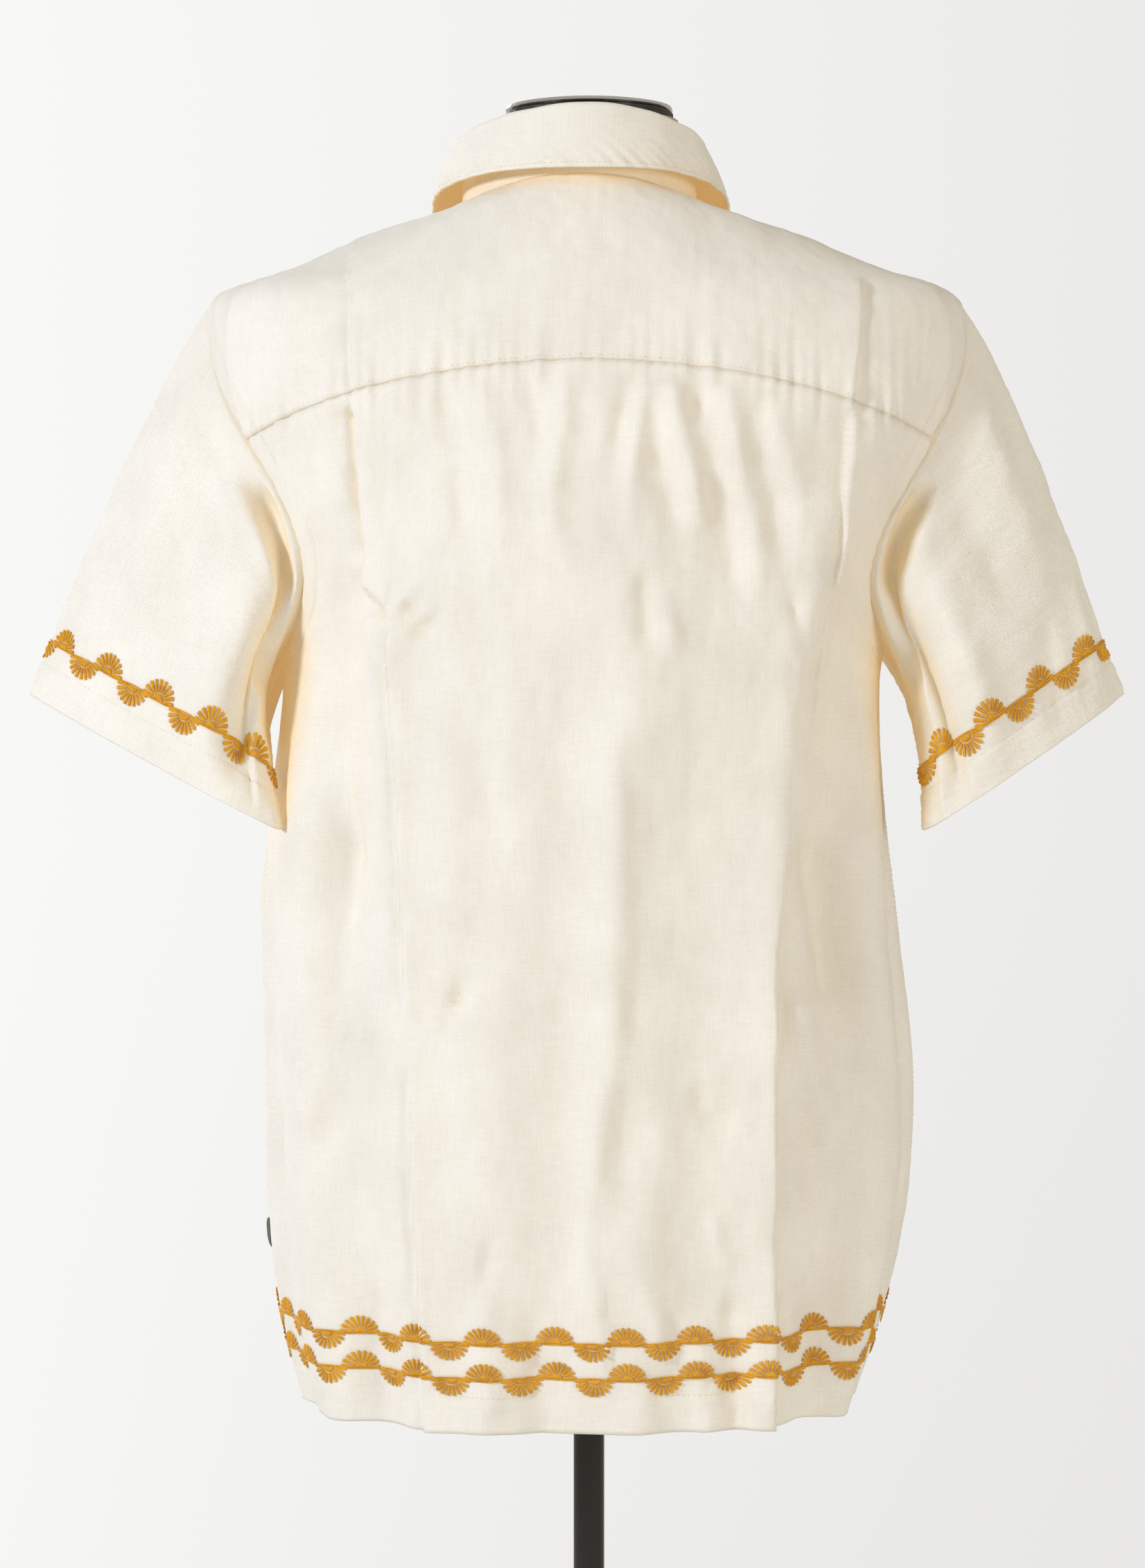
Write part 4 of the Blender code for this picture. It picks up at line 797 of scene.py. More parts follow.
def cloth_wall(name, outer, inner, material, joined=False):
    """A closed cloth shell: an outer and an inner grid, with strips along the free edges."""
    rows, columns = outer.shape[:2]
    skin = rows * columns
    faces = [grid_faces(rows, columns, joined)[:, ::-1], grid_faces(rows, columns, joined, skin)]
    j = np.arange(columns if joined else columns - 1)
    k = (j + 1) % columns
    last = (rows - 1) * columns
    faces.append(np.stack([j, k, k + skin, j + skin], axis=1))
    faces.append(np.stack([last + k, last + j, last + j + skin, last + k + skin], axis=1))
    if not joined:
        i = np.arange(rows - 1) * columns
        faces.append(np.stack([i + columns, i, i + skin, i + columns + skin], axis=1))
        i = i + columns - 1
        faces.append(np.stack([i, i + columns, i + columns + skin, i + skin], axis=1))
    flat = grid_lengths(outer).reshape(-1, 2)
    points = np.concatenate([outer.reshape(-1, 3), inner.reshape(-1, 3)])
    return mesh_piece(name, points, np.concatenate(faces), material, np.concatenate([flat, flat]))


def trunk_panel(name, plan, sewn, material, out=0.0):
    """A cloth shell over a grid of trunk angles and levels."""
    angle, level = plan[..., 0], plan[..., 1]
    outer = drawn_in(body_point(angle, level, out), **sewn)
    return cloth_wall(name, outer, outer - trunk_normal(angle, level) * CLOTH, material)


def drawn_noise(tree, place, stretch):
    """Noise drawn out along one thread direction: the flat coordinates scaled unequally first."""
    drawn = add_node(tree, "Mapping", {"Vector": place, "Scale": stretch})
    return noise(tree, drawn.outputs["Vector"], 1.0)


def mean_of(tree, *values):
    """The plain mean of several values."""
    total = values[0]
    for value in values[1:]:
        total = add_node(tree, "Math", {0: total, 1: value}, operation="ADD").outputs["Value"]
    sockets = {0: total, 1: 1.0 / len(values)}
    return add_node(tree, "Math", sockets, operation="MULTIPLY").outputs["Value"]


# Linen: a plain weave on flat coordinates in metres, as waves of both thread directions at the
# thread pitch, with drawn-out noise for the slubs, in the height and faintly in the colour. In narrow
# places, found by ambient occlusion, the colour is painted a warmer, darker shade and the cloth glows a
# little by emission: painted shade and a painted glow for light soaking through the thin cloth.
THREAD_PITCH = 0.00075
WAVE_SCALE = 0.314159
GLOW_REACH = 0.12
WARM_SHADE, PLAIN = (1.0, 0.84, 0.57, 1.0), (1.0, 1.0, 1.0, 1.0)
linen, tree, shader = new_material(
    "cream_linen_plain_weave", Roughness=0.9, Sheen_Weight=0.15, Sheen_Roughness=0.5
)
place = add_node(tree, "UVMap", uv_map="cloth").outputs["UV"]
waves = []
for direction in ("X", "Y"):
    sockets = {"Vector": place, "Scale": WAVE_SCALE / THREAD_PITCH, "Distortion": 0.6}
    sockets.update({"Detail": 1.0, "Detail Scale": 0.3})
    waves.append(add_node(tree, "TexWave", sockets, bands_direction=direction).outputs["Fac"])
slub_up = drawn_noise(tree, place, (900.0, 55.0, 1.0))
slub_across = drawn_noise(tree, place, (70.0, 1100.0, 1.0))
height = mean_of(tree, waves[0], waves[1], slub_up, slub_across)
cloud = noise(tree, place, 16.0, 5.0)
tone = ramp(tree, mean_of(tree, slub_up, slub_across, cloud, cloud), "#EAE6DE", "#F5F2EB", 0.38, 0.62)
# Painted shade: the colour is multiplied towards WARM_SHADE where ambient occlusion finds other cloth near.
open_share = add_node(tree, "AmbientOcclusion", {"Distance": GLOW_REACH}, samples=4).outputs["AO"]
sockets = {"Value": open_share, "From Min": 0.1, "From Max": 0.88}
opened = add_node(tree, "MapRange", sockets).outputs["Result"]
painted_shade_tint = add_node(tree, "MixRGB", {"Fac": opened, "Color1": WARM_SHADE, "Color2": PLAIN})
sockets = {"Fac": 1.0, "Color1": tone, "Color2": painted_shade_tint.outputs["Color"]}
tone_with_painted_shade = add_node(tree, "MixRGB", sockets, blend_type="MULTIPLY").outputs["Color"]
dress_shader(tree, shader, tone_with_painted_shade, height, 0.4, 0.0009)
# Painted glow: the same narrow places emit a faint golden light, though the cloth is no lamp.
sockets = {"Value": open_share, "From Min": 0.05, "From Max": 0.5, "To Min": 0.15, "To Max": 0.0}
painted_glow_strength = add_node(tree, "MapRange", sockets).outputs["Result"]
tree.links.new(painted_glow_strength, shader.inputs["Emission Strength"])
shader.inputs["Emission Color"].default_value = (1.0, 0.74, 0.38, 1.0)


# Back: the yoke seam sews its top edge, and three more rows run on sunk under the yoke.
def side_seam(side, finer):
    """The side seam from hem to armpit, its rows crowded towards the hem as share^1.5."""
    share = np.linspace(0.0, 1.0, SIDE_STEPS * finer + 1) ** 1.5
    level = hem_level + (LEVEL_OF["armpit"] - hem_level) * share
    return np.stack([np.full(len(share), side * math.pi / 2), level], axis=1)


FINER = 8
UNDER_YOKE_UP = (0.0002, 0.0009, 0.007)
UNDER_YOKE_OUT = (-0.0010, -0.0018, -0.0018)
edges = []
for side in (-1, 1):
    seam = side_seam(side, FINER)
    edges.append(np.concatenate([seam[:-1], armhole_line(0, YOKE_END, side, FINER)]))
bottom = line((-math.pi / 2, hem_level), (math.pi / 2, hem_level), BACK_STEPS * FINER)
plan = patch(bottom, yoke_seam(FINER), *edges, ease=EDGE_EASE)
under_yoke = [plan[-1] + np.array([0.0, up]) for up in UNDER_YOKE_UP]
plan = np.concatenate([plan, under_yoke])
sunk = np.zeros(plan.shape[:2])
sunk[-3:] = np.array(UNDER_YOKE_OUT)[:, None]
back = trunk_panel("back_panel", plan, {"bottom": False, "top": False}, linen, sunk)
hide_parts("back")

# Yoke: one layer of the same linen over the shoulders, cut across, sewn over the top of the back.
right = armhole_line(YOKE_END, FRONT_SEAM, -1, FINER)[::-1]
left = armhole_line(YOKE_END, FRONT_SEAM, 1, FINER)
outside = np.concatenate([right[:-1], yoke_seam(FINER), left[1:]])
inside = line((-FRONT_SEAM_NECK, neck_level), (FRONT_SEAM_NECK, neck_level), len(outside) - 1)
ends = [line(outside[i], inside[i], SHOULDER_STEPS * FINER) for i in (0, -1)]
yoke = trunk_panel("yoke_panel", patch(outside, inside, *ends), {}, linen)
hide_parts("yoke")

# Fronts: two panels of the same linen; the left one laps over the right at centre front.
FRONT_OVERLAP = 0.017
LAP_START_DEG = 152
LAP_SPAN_DEG = 14
FRONT_FINER = 5


def overlap_angle(level, side):
    """Angle of a front's centre edge, past centre front by the overlap over the ring's reach."""
    ring = ring_at(level)
    return side * math.pi + side * np.arcsin((FRONT_OVERLAP / ring["side_x"]) ** (ring["square"] / 2.0))


def lap_share(angle):
    """Nought round the back, rising to one over the lap's span beside centre front on the left."""
    return smooth_step((np.degrees(angle) - LAP_START_DEG) / LAP_SPAN_DEG)


def front_lap(angle):
    """How far the left front is lifted over the right one."""
    return (CLOTH + LAP_GAP) * lap_share(angle)


for name, side in (("front_left", 1), ("front_right", -1)):
    seam = side_seam(side, FRONT_FINER)
    armhole_edge = armhole_line(FRONT_SEAM, ARM_END, side, FRONT_FINER)[::-1]
    outside = np.concatenate([seam[:-1], armhole_edge])
    up_centre = np.linspace(LEVEL_OF["armpit"], neck_level, len(armhole_edge))
    levels = np.concatenate([seam[:-1, 1], up_centre])
    centre = np.stack([overlap_angle(levels, side), levels], axis=1)
    shoulder = line(armhole_edge[-1], (side * FRONT_SEAM_NECK, neck_level), SHOULDER_STEPS * FRONT_FINER)
    neckline = line((side * FRONT_SEAM_NECK, neck_level), centre[-1], NECK_FRONT_STEPS * FRONT_FINER)
    top = np.concatenate([shoulder[:-1], neckline])
    bottom = line((side * math.pi / 2, hem_level), centre[0], len(top) - 1)
    plan = patch(bottom, top, outside, centre, ease=EDGE_EASE)
    lift = front_lap(plan[..., 0]) if side > 0 else 0.0
    front = trunk_panel(name + "_panel", plan, {"bottom": False, "right": False}, linen, lift)
    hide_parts(name)

# Sleeves: each one piece of the linen, set into the armhole, with the hem turned up inside the cuff.
CUFFS = {
    "left": ((0.3410, 0.012, 1.199), (0.1860, 0.074, 1.119), 0.026),
    "right": ((-0.3255, 0.012, 1.199), (-0.2020, 0.058, 1.118), 0.031),
}
SLEEVE_LEAVE_UNDER = (0.10, 0.0, -0.99)
SLEEVE_LEAVE_TIP = (0.60, 0.0, -0.80)
SLEEVE_ARRIVE_INNER = (0.0, 0.0, -1.0)
SLEEVE_ARRIVE_OUTER = (0.41, 0.0, -0.91)
SLEEVE_LIFT = 0.75
SLEEVE_PULL = 0.75
SLEEVE_LAP_TOP = 0.85
SLEEVE_FOLD_COLUMNS = ("top_deg", "cuff_deg", "start", "end", "width_deg", "depth")
SLEEVE_FOLDS = {
    "back_pocket": (58, 34, 0.12, 1.00, 18, -0.009),
    "back_lip": (82, 54, 0.05, 1.10, 17, 0.005),
    "front_pocket": (312, 330, 0.12, 1.00, 20, -0.008),
    "front_lip": (282, 304, 0.05, 1.10, 20, 0.005),
}
SLEEVE_FINER = 8
SLEEVE_ROWS = 128
NEAR_CUFF = 0.85


def bare_sleeve(side_name, q, along):
    """A Hermite curve from each armhole point to its point on the flattened oval of the cuff."""
    side = 1 if side_name == "left" else -1
    outer, inner, half_depth = CUFFS[side_name]
    outer, inner = np.array(outer), np.array(inner)
    centre, wide = (outer + inner) / 2.0, (outer - inner) / 2.0
    axis = unit(np.cross(wide, (0.0, 1.0, 0.0)))
    deep = unit(np.cross(axis, wide))
    deep = deep * np.sign(deep[1]) * half_depth
    cosine, sine = np.cos(q)[..., None], np.sin(q)[..., None]
    over = (1.0 - cosine) / 2.0
    off_trunk = trunk_normal(*armhole(q, side))
    lap = (CLOTH + SEAM_GAP) * smooth_step((SLEEVE_LAP_TOP - over) / 0.2)
    start = trunk_point(*armhole(q, side)) + off_trunk * lap
    end = centre - cosine * wide + sine * deep
    reach = np.linalg.norm(end - start, axis=-1, keepdims=True) * SLEEVE_PULL
    mirror = np.array([side, 1.0, 1.0])
    leave = np.array(SLEEVE_LEAVE_UNDER) * (1.0 - over) + np.array(SLEEVE_LEAVE_TIP) * over
    leave = unit(leave * mirror + off_trunk * (SLEEVE_LIFT * (1.0 - over)))
    arrive = np.array(SLEEVE_ARRIVE_INNER) * (1.0 - over) + np.array(SLEEVE_ARRIVE_OUTER) * over
    arrive = unit(arrive) * mirror
    s = along[..., None]
    return (
        start * (2 * s**3 - 3 * s**2 + 1)
        + leave * reach * (s**3 - 2 * s**2 + s)
        + end * (3 * s**2 - 2 * s**3)
        + arrive * reach * (s**3 - s**2)
    )


def sleeve_length(side_name, q):
    """Length of the sleeve at each q, as its last stretch before the cuff measures it."""
    near_cuff, cuff = (bare_sleeve(side_name, q, np.full(np.shape(q), at)) for at in (NEAR_CUFF, 1.0))
    return np.linalg.norm(cuff - near_cuff, axis=-1) / (1.0 - NEAR_CUFF)


def sleeve_fold_depth(q, along):
    """Bell-shaped folds across q, running along the sleeve between their start and end."""
    depth = np.zeros(np.broadcast(q, along).shape)
    for row in SLEEVE_FOLDS.values():
        fold = dict(zip(SLEEVE_FOLD_COLUMNS, row))
        line_q = np.radians(fold["top_deg"] + (fold["cuff_deg"] - fold["top_deg"]) * along)
        away = (q - line_q) / math.radians(fold["width_deg"])
        share = (along - fold["start"]) / (fold["end"] - fold["start"])
        bell = fold["depth"] * np.exp(-(away**2)) * smooth_step(share / 0.35)
        depth += bell * smooth_step((1.0 - share) / 0.45)
    return depth


# Creases of the sleeves: knots are degrees round from the underarm, by way of the back, and percent
# of the way from the armhole to the cuff.
SLEEVE_CREASES = {
    "left": (
        ("roll", (-7.0, 11, 9), 0.15, 0.35, ((98, 7), (72, 11), (46, 20), (32, 44))),
        ("press", (1.0, 9, -1.2, 6), 0.3, 0.05, ((171, 30), (169, 60), (166, 101))),
        ("roll", (1.4, 10, 9), 0.2, 0.4, ((128, 6), (124, 30), (112, 60))),
        ("roll", (-1.4, 9, 8), 0.2, 0.4, ((108, 3), (104, 30), (92, 62))),
        ("roll", (1.6, 7, 9), 0.1, 0.3, ((76, 2), (68, 30), (62, 70), (60, 100))),
        ("roll", (-1.5, 6, 6), 0.1, 0.3, ((60, 2), (52, 25), (46, 60), (46, 96))),
        ("press", (0.8, 9, -0.9, 8), 0.2, 0.2, ((36, 30), (30, 60), (28, 98))),
        ("roll", (1.0, 8, 8), 0.3, 0.3, ((140, 62), (132, 80), (128, 99))),
        ("press", (-1.0, 7, 0.9, 8), 0.3, 0.05, ((352, 20), (352, 60), (350, 101))),
        ("roll", (1.4, 9, 8), 0.2, 0.3, ((214, 10), (224, 45), (232, 90))),
        ("roll", (-1.4, 9, 8), 0.2, 0.3, ((240, 8), (252, 40), (262, 80))),
        ("roll", (1.2, 9, 8), 0.2, 0.3, ((300, 5), (318, 40), (324, 90))),
    ),
    "right": (
        ("roll", (-7.0, 11, 9), 0.15, 0.35, ((98, 7), (72, 11), (46, 20), (32, 44))),
        ("press", (0.9, 9, -1.2, 7), 0.3, 0.05, ((168, 28), (166, 60), (165, 101))),
        ("roll", (1.5, 9, 9), 0.2, 0.4, ((122, 4), (120, 34), (126, 66))),
        ("roll", (-1.6, 8, 9), 0.2, 0.4, ((100, 3), (98, 32), (104, 66))),
        ("roll", (1.8, 7, 9), 0.1, 0.3, ((82, 4), (74, 36), (70, 72), (70, 101))),
        ("roll", (-2.2, 7, 6), 0.1, 0.2, ((62, 4), (52, 40), (44, 72), (42, 101))),
        ("roll", (1.6, 6, 6), 0.2, 0.2, ((44, 30), (32, 60), (26, 100))),
        ("roll", (1.2, 9, 8), 0.3, 0.3, ((146, 56), (138, 80), (134, 100))),
        ("roll", (-1.1, 9, 8), 0.3, 0.3, ((112, 60), (106, 80), (104, 100))),
        ("press", (-1.0, 7, 0.9, 8), 0.3, 0.05, ((351, 24), (350, 60), (352, 101))),
        ("roll", (1.3, 9, 8), 0.2, 0.3, ((218, 12), (226, 46), (230, 92))),
        ("roll", (-1.3, 9, 8), 0.2, 0.3, ((244, 8), (254, 40), (268, 82))),
        ("roll", (1.2, 9, 8), 0.2, 0.3, ((304, 6), (320, 42), (330, 88))),
    ),
}
SLEEVE_HALF_ROUND, SLEEVE_LONG = 0.062, 0.26
SLEEVE_SEEDS = {"left": 31, "right": 47}


def sleeve_place(degrees, percent):
    return np.stack([np.radians(degrees) * SLEEVE_HALF_ROUND, percent / 100.0 * SLEEVE_LONG], axis=-1)


SLEEVE_LAID = {name: laid_out(rows, sleeve_place) for name, rows in SLEEVE_CREASES.items()}


def sleeve_relief(side_name, q, along, length):
    """Fine relief of a sleeve: creases, rumpled linen, puckers at its head and the doubled cuff."""
    q, along = np.broadcast_arrays(q % (2.0 * math.pi), along)
    arc, run = q * SLEEVE_HALF_ROUND, along * SLEEVE_LONG
    seed = SLEEVE_SEEDS[side_name]
    relief = CREASE_STRENGTH * crease_relief(arc, run, SLEEVE_LAID[side_name])
    ring_x, ring_y = np.cos(q) * SLEEVE_HALF_ROUND, np.sin(q) * SLEEVE_HALF_ROUND
    relief += rumple(ring_x + run * 0.3, ring_y + run, 0.0014, seed, (0.02, 0.035, 0.06), 0.9)
    relief += rumple(ring_x + run, ring_y - run, 0.0004, seed + 1, (0.007, 0.011), 0.9)
    head = seam_puckers(np.cos(q) * 0.06 + np.sin(q) * 0.08, run, 0.010, seed + 2)
    relief += ARMHOLE_PUCKERS * head * smooth_step(run / 0.003)
    up = (1.0 - along) * length
    above = up - HEM_DEPTH
    relief += HEM_HIGH * smooth_step(0.5 - above / 0.0015) + seam_furrow(above)
    relief += HEM_PUCKERS * seam_puckers(np.cos(q) * 0.07 + np.sin(q) * 0.06, above, 0.012, seed + 3)
    cuff_wave = rumple(ring_x, ring_y, 0.0012, seed + 4, (0.025, 0.04), 1.5)
    return relief + cuff_wave * smooth_step(1.0 - up / 0.05)


def sleeve_surface(side_name, q, along):
    """Outer face and normal of a sleeve: the bare sleeve moved out by its folds."""
    side = 1 if side_name == "left" else -1
    tube = bare_sleeve(side_name, q, along)
    around = bare_sleeve(side_name, q + 0.01, along) - bare_sleeve(side_name, q - 0.01, along)
    above = bare_sleeve(side_name, q, np.maximum(along - 0.01, 0.0))
    below = bare_sleeve(side_name, q, np.minimum(along + 0.01, 1.0))
    normal = unit(np.cross(around, below - above)) * side
    share = smooth_step(along / 0.15)[..., None]
    normal = unit(trunk_normal(*armhole(q, side)) * (1.0 - share) + normal * share)
    out = sleeve_fold_depth(q, along) + sleeve_relief(side_name, q, along, sleeve_length(side_name, q))
    return tube + normal * out[..., None], normal


ALLOWANCE_ROWS = ((0.008, 0.0026), (0.0012, 0.0024), (0.0002, 0.0014))


def off_armhole(q, side):
    """Flat arc and level of armhole points, and the direction there off the armhole's middle."""
    angle, level = armhole(q, side)
    arc = flat_arc(angle, level)
    size = np.hypot(np.gradient(arc), np.gradient(level))
    out_arc, out_level = np.gradient(level) / size, -np.gradient(arc) / size
    hub_level = 0.5 * (LEVEL_OF["armpit"] + LEVEL_OF["tip"])
    hub = flat_arc(side * math.pi / 2, hub_level)
    sign = np.sign(out_arc * (arc - hub) + out_level * (level - hub_level))
    return arc, level, out_arc * sign, out_level * sign


def sleeve_allowance(q, side):
    """The sleeve's seam allowance: from the seam it turns inside and lies under the body cloth."""
    arc, level, out_arc, out_level = off_armhole(q, side)
    rows = []
    for inwards, deep in ALLOWANCE_ROWS:
        level_in = level + out_level * inwards
        rows.append(trunk_point(angle_at_arc(arc + out_arc * inwards, level_in), level_in, -deep))
    return np.stack(rows)


for side_name in ("left", "right"):
    stations = armhole_stations(SLEEVE_FINER)[:-1]
    along, q = np.meshgrid(np.linspace(0.0, 1.0, SLEEVE_ROWS + 1), stations, indexing="ij")
    outer, normal = sleeve_surface(side_name, q, along)
    outer[0] += unit(outer[1] - outer[0]) * SEAM_GAP
    allowance = sleeve_allowance(stations, 1 if side_name == "left" else -1)
    outer = np.concatenate([allowance, outer])
    normal = np.concatenate([normal[:1], normal[:1], normal[:1], normal])
    inner = outer - normal * CLOTH
    if side_name == "right":
        outer, inner = outer[:, ::-1], inner[:, ::-1]
    sleeve = cloth_wall(f"sleeve_{side_name}_panel", outer[::-1], inner[::-1], linen, joined=True)
    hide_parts(f"sleeve_{side_name}")

# Placket: the buttoned strip along the edge of the left front, from hem to neck seam.
PLACKET_FINER = 8
levels = np.linspace(hem_level, neck_level, 24 * PLACKET_FINER + 1)
edge = overlap_angle(levels, 1)[:, None]
share = np.linspace(0.0, 1.0, 3 * PLACKET_FINER + 1)
angle = (2 * math.pi - edge) * (1.0 - share) + edge * share
plan = np.stack([angle, np.broadcast_to(levels[:, None], angle.shape)], axis=-1)
free = dict.fromkeys(("bottom", "top", "left", "right"), False)
placket = trunk_panel("placket_strip", plan, free, linen, front_lap(angle) + CLOTH + LAP_GAP / 2.0)
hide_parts("placket")

# Collar: an interlined stand sewn to the neck seam, and a leaf that rolls over it and falls.
COLLAR_CLOTH = 0.0016
STAND_HEIGHT = 0.034
STAND_LEAN = 0.03
STAND_LAP_RISE = 0.0024
STAND_FRONT_SHARE = 0.78
LEAF_COLUMNS = ("angle_deg", "drop", "stand_off")
LEAF_EDGE = (
    (0, 0.0065, 0.0095),
    (45, 0.0068, 0.0115),
    (90, 0.0105, 0.0115),
    (130, 0.032, 0.0042),
    (158, 0.056, 0.0034),
    (170, 0.060, 0.0034),
)
LEAF_ROLL_RADIUS = 0.0034
LEAF_FOOT = 0.0010
LEAF_BELLY = 0.0015
LEAF_END_DEG = 170
COLLAR_TURNS = 304


def neck_edge(angle):
    """The neck seam and the way the collar stand leans there."""
    seam = bare_trunk(angle, np.full(np.shape(angle), neck_level))
    inward = -seam * np.array([1.0, 1.0, 0.0])
    return seam, unit(np.array([0.0, 0.0, 1.0]) + unit(inward) * STAND_LEAN)


def outwards_across(lean, angle):
    """Direction square to the lean, pointing away from the neck."""
    around = unit(np.stack([np.cos(angle), -np.sin(angle), np.zeros_like(angle)], axis=-1))
    across = unit(np.cross(lean, around))
    outward = np.stack([np.sin(angle), np.cos(angle), np.zeros_like(angle)], axis=-1)
    return across * np.sign((across * outward).sum(axis=-1, keepdims=True))


def stand_lap(angle):
    return (COLLAR_CLOTH + LAP_GAP) * lap_share(angle)


def stand_line(angle, height, out):
    """A point of the stand's outer face: up its lean by the height, and off its face by out."""
    seam, lean = neck_edge(angle)
    fall = smooth_step((np.abs(np.degrees(angle)) - 60.0) / 120.0)
    tall = 1.0 - (1.0 - STAND_FRONT_SHARE) * fall
    base = COLLAR_CLOTH / 2.0 + SEAM_GAP + STAND_LAP_RISE * lap_share(angle)
    return seam + lean * (base + height * tall)[..., None] + outwards_across(lean, angle) * out[..., None]


STAND_FOOT = -0.0016
STAND_STITCHES = (0.0035, STAND_HEIGHT - 0.0035)
stand_end = overlap_angle(np.array([neck_level]), 1)[0]
stand_turns = np.linspace(-stand_end, stand_end, COLLAR_TURNS + 1)
angle, height = np.meshgrid(stand_turns, np.linspace(STAND_FOOT, STAND_HEIGHT, 26))
lift = stand_lap(angle)
for stitch_height in STAND_STITCHES:
    lift = lift + 0.7 * seam_furrow(height - stitch_height, 0.0007)
stand = cloth_wall("collar_stand_band", stand_line(angle, height, lift),
                   stand_line(angle, height, lift - COLLAR_CLOTH), linen)
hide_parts("collar_stand")

end = math.radians(LEAF_END_DEG)
angle = np.linspace(-end, end, COLLAR_TURNS + 1)
table = dict(zip(LEAF_COLUMNS, np.array(LEAF_EDGE, float).T))
at = np.abs(np.degrees(angle))
drop = spline(table["angle_deg"], table["drop"], at)
stand_off = spline(table["angle_deg"], table["stand_off"], at)
edge = trunk_point(angle, neck_level - drop, stand_off + front_lap(angle))
lean = neck_edge(angle)[1]
across = outwards_across(lean, angle)
foot = stand_line(angle, np.full(angle.shape, STAND_HEIGHT), stand_lap(angle) - COLLAR_CLOTH / 2.0)
foot = foot + lean * (SEAM_GAP + COLLAR_CLOTH / 2.0)
centre = foot + across * LEAF_ROLL_RADIUS + lean * LEAF_FOOT
rows = [foot, foot + lean * LEAF_FOOT * 0.5, foot + lean * LEAF_FOOT]
for turn in np.radians(np.linspace(180, 0, 13)[1:-1]):
    rows.append(centre + (across * np.cos(turn) + lean * np.sin(turn)) * LEAF_ROLL_RADIUS)
shoulder = centre + across * LEAF_ROLL_RADIUS
for share in np.linspace(0.0, 1.0, 33):
    rows.append(shoulder * (1.0 - share) + edge * share + across * (LEAF_BELLY * math.sin(math.pi * share)))
middle = np.stack(rows)
normal = unit(np.cross(np.gradient(middle, axis=1), np.gradient(middle, axis=0)))
normal = normal * np.sign((normal[-1] * across).sum(axis=-1))[None, :, None]
from_foot = lengths_along(middle, 0)
from_edge = from_foot[-1] - from_foot
round_neck = lengths_along(middle, 1)
LEAF_STITCH = 0.0045
LEAF_WAVE = (0.0016, 61, (0.02, 0.035, 0.06))
LEAF_PUCKERS = 0.0016
wave = rumple(round_neck[:1], from_edge * 0.4, *LEAF_WAVE)
wave += LEAF_PUCKERS * seam_puckers(round_neck, from_edge - LEAF_STITCH, 0.007, 62)
wave += seam_furrow(from_edge - LEAF_STITCH, 0.0008)
middle = middle + normal * (wave * smooth_step(from_foot / 0.012))[..., None]
half = COLLAR_CLOTH / 2.0
leaf = cloth_wall("collar_leaf_fall", (middle + normal * half)[::-1], (middle - normal * half)[::-1], linen)
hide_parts("collar_leaf")

# Topstitching: cream cotton thread, about three stitches to the centimetre, in the furrows of the
# seams; each stitch is a low rounded bar, sunk at its ends.
thread, tree, shader = new_material("cream_cotton_thread", Roughness=0.75, Sheen_Weight=0.3)
place = on_object(tree)
sockets = {"Vector": place, "Scale": 620.0, "Distortion": 1.0}
twist = add_node(tree, "TexWave", sockets, bands_direction="DIAGONAL").outputs["Fac"]
tone = ramp(tree, noise(tree, place, 260.0, 1.0), "#D8C7A6", "#EFE4CD")
dress_shader(tree, shader, tone, twist, 0.3, 0.0002)
STITCH_PITCH, STITCH_LONG, STITCH_WIDE, STITCH_HIGH = 0.0033, 0.0025, 0.00055, 0.0003


def stitched(name, lines):
    """Stitches along lines of points on the cloth, each line with its outward normals."""
    points = []
    for path, normal in lines:
        passed = distances(path)
        begin = np.arange(0.001, passed[-1] - STITCH_LONG, STITCH_PITCH)
        at = begin[:, None] + np.linspace(0.0, 1.0, 4) * STITCH_LONG
        spot = np.stack([np.interp(at, passed, path[:, i]) for i in range(3)], axis=-1)
        out = unit(np.stack([np.interp(at, passed, normal[:, i]) for i in range(3)], axis=-1))
        across = unit(np.cross(out, np.gradient(spot, axis=1)))
        high = np.array([-0.35, 0.9, 0.9, -0.35]) * STITCH_HIGH
        for place_across, lower in ((-0.5, 0.8), (0.0, 0.0), (0.5, 0.8)):
            rise = (high - lower * STITCH_HIGH)[None, :, None]
            points.append(spot + across * place_across * STITCH_WIDE + out * rise)
    columns = [np.concatenate([p.reshape(-1, 4, 3) for p in points[k::3]]) for k in range(3)]
    bars = np.stack(columns, axis=2)
    faces = grid_faces(4, 3)[None] + (np.arange(len(bars)) * 12)[:, None, None]
    item = mesh_piece(name, bars.reshape(-1, 3), faces.reshape(-1, 4), thread)


def body_line(angle, level, out=0.0):
    """A stitch line on the body cloth with its normals."""
    angle, level = np.broadcast_arrays(angle, level)
    return body_point(angle, level, out), trunk_normal(angle, level)


def offset_ring(side, inwards, first, last, count=260):
    """A line beside the armhole on the body, a fixed distance off it, between two values of q."""
    arc, level, out_arc, out_level = off_armhole(np.linspace(first, last, count), side)
    level = level + out_level * inwards
    return body_line(angle_at_arc(arc + out_arc * inwards, level), level)


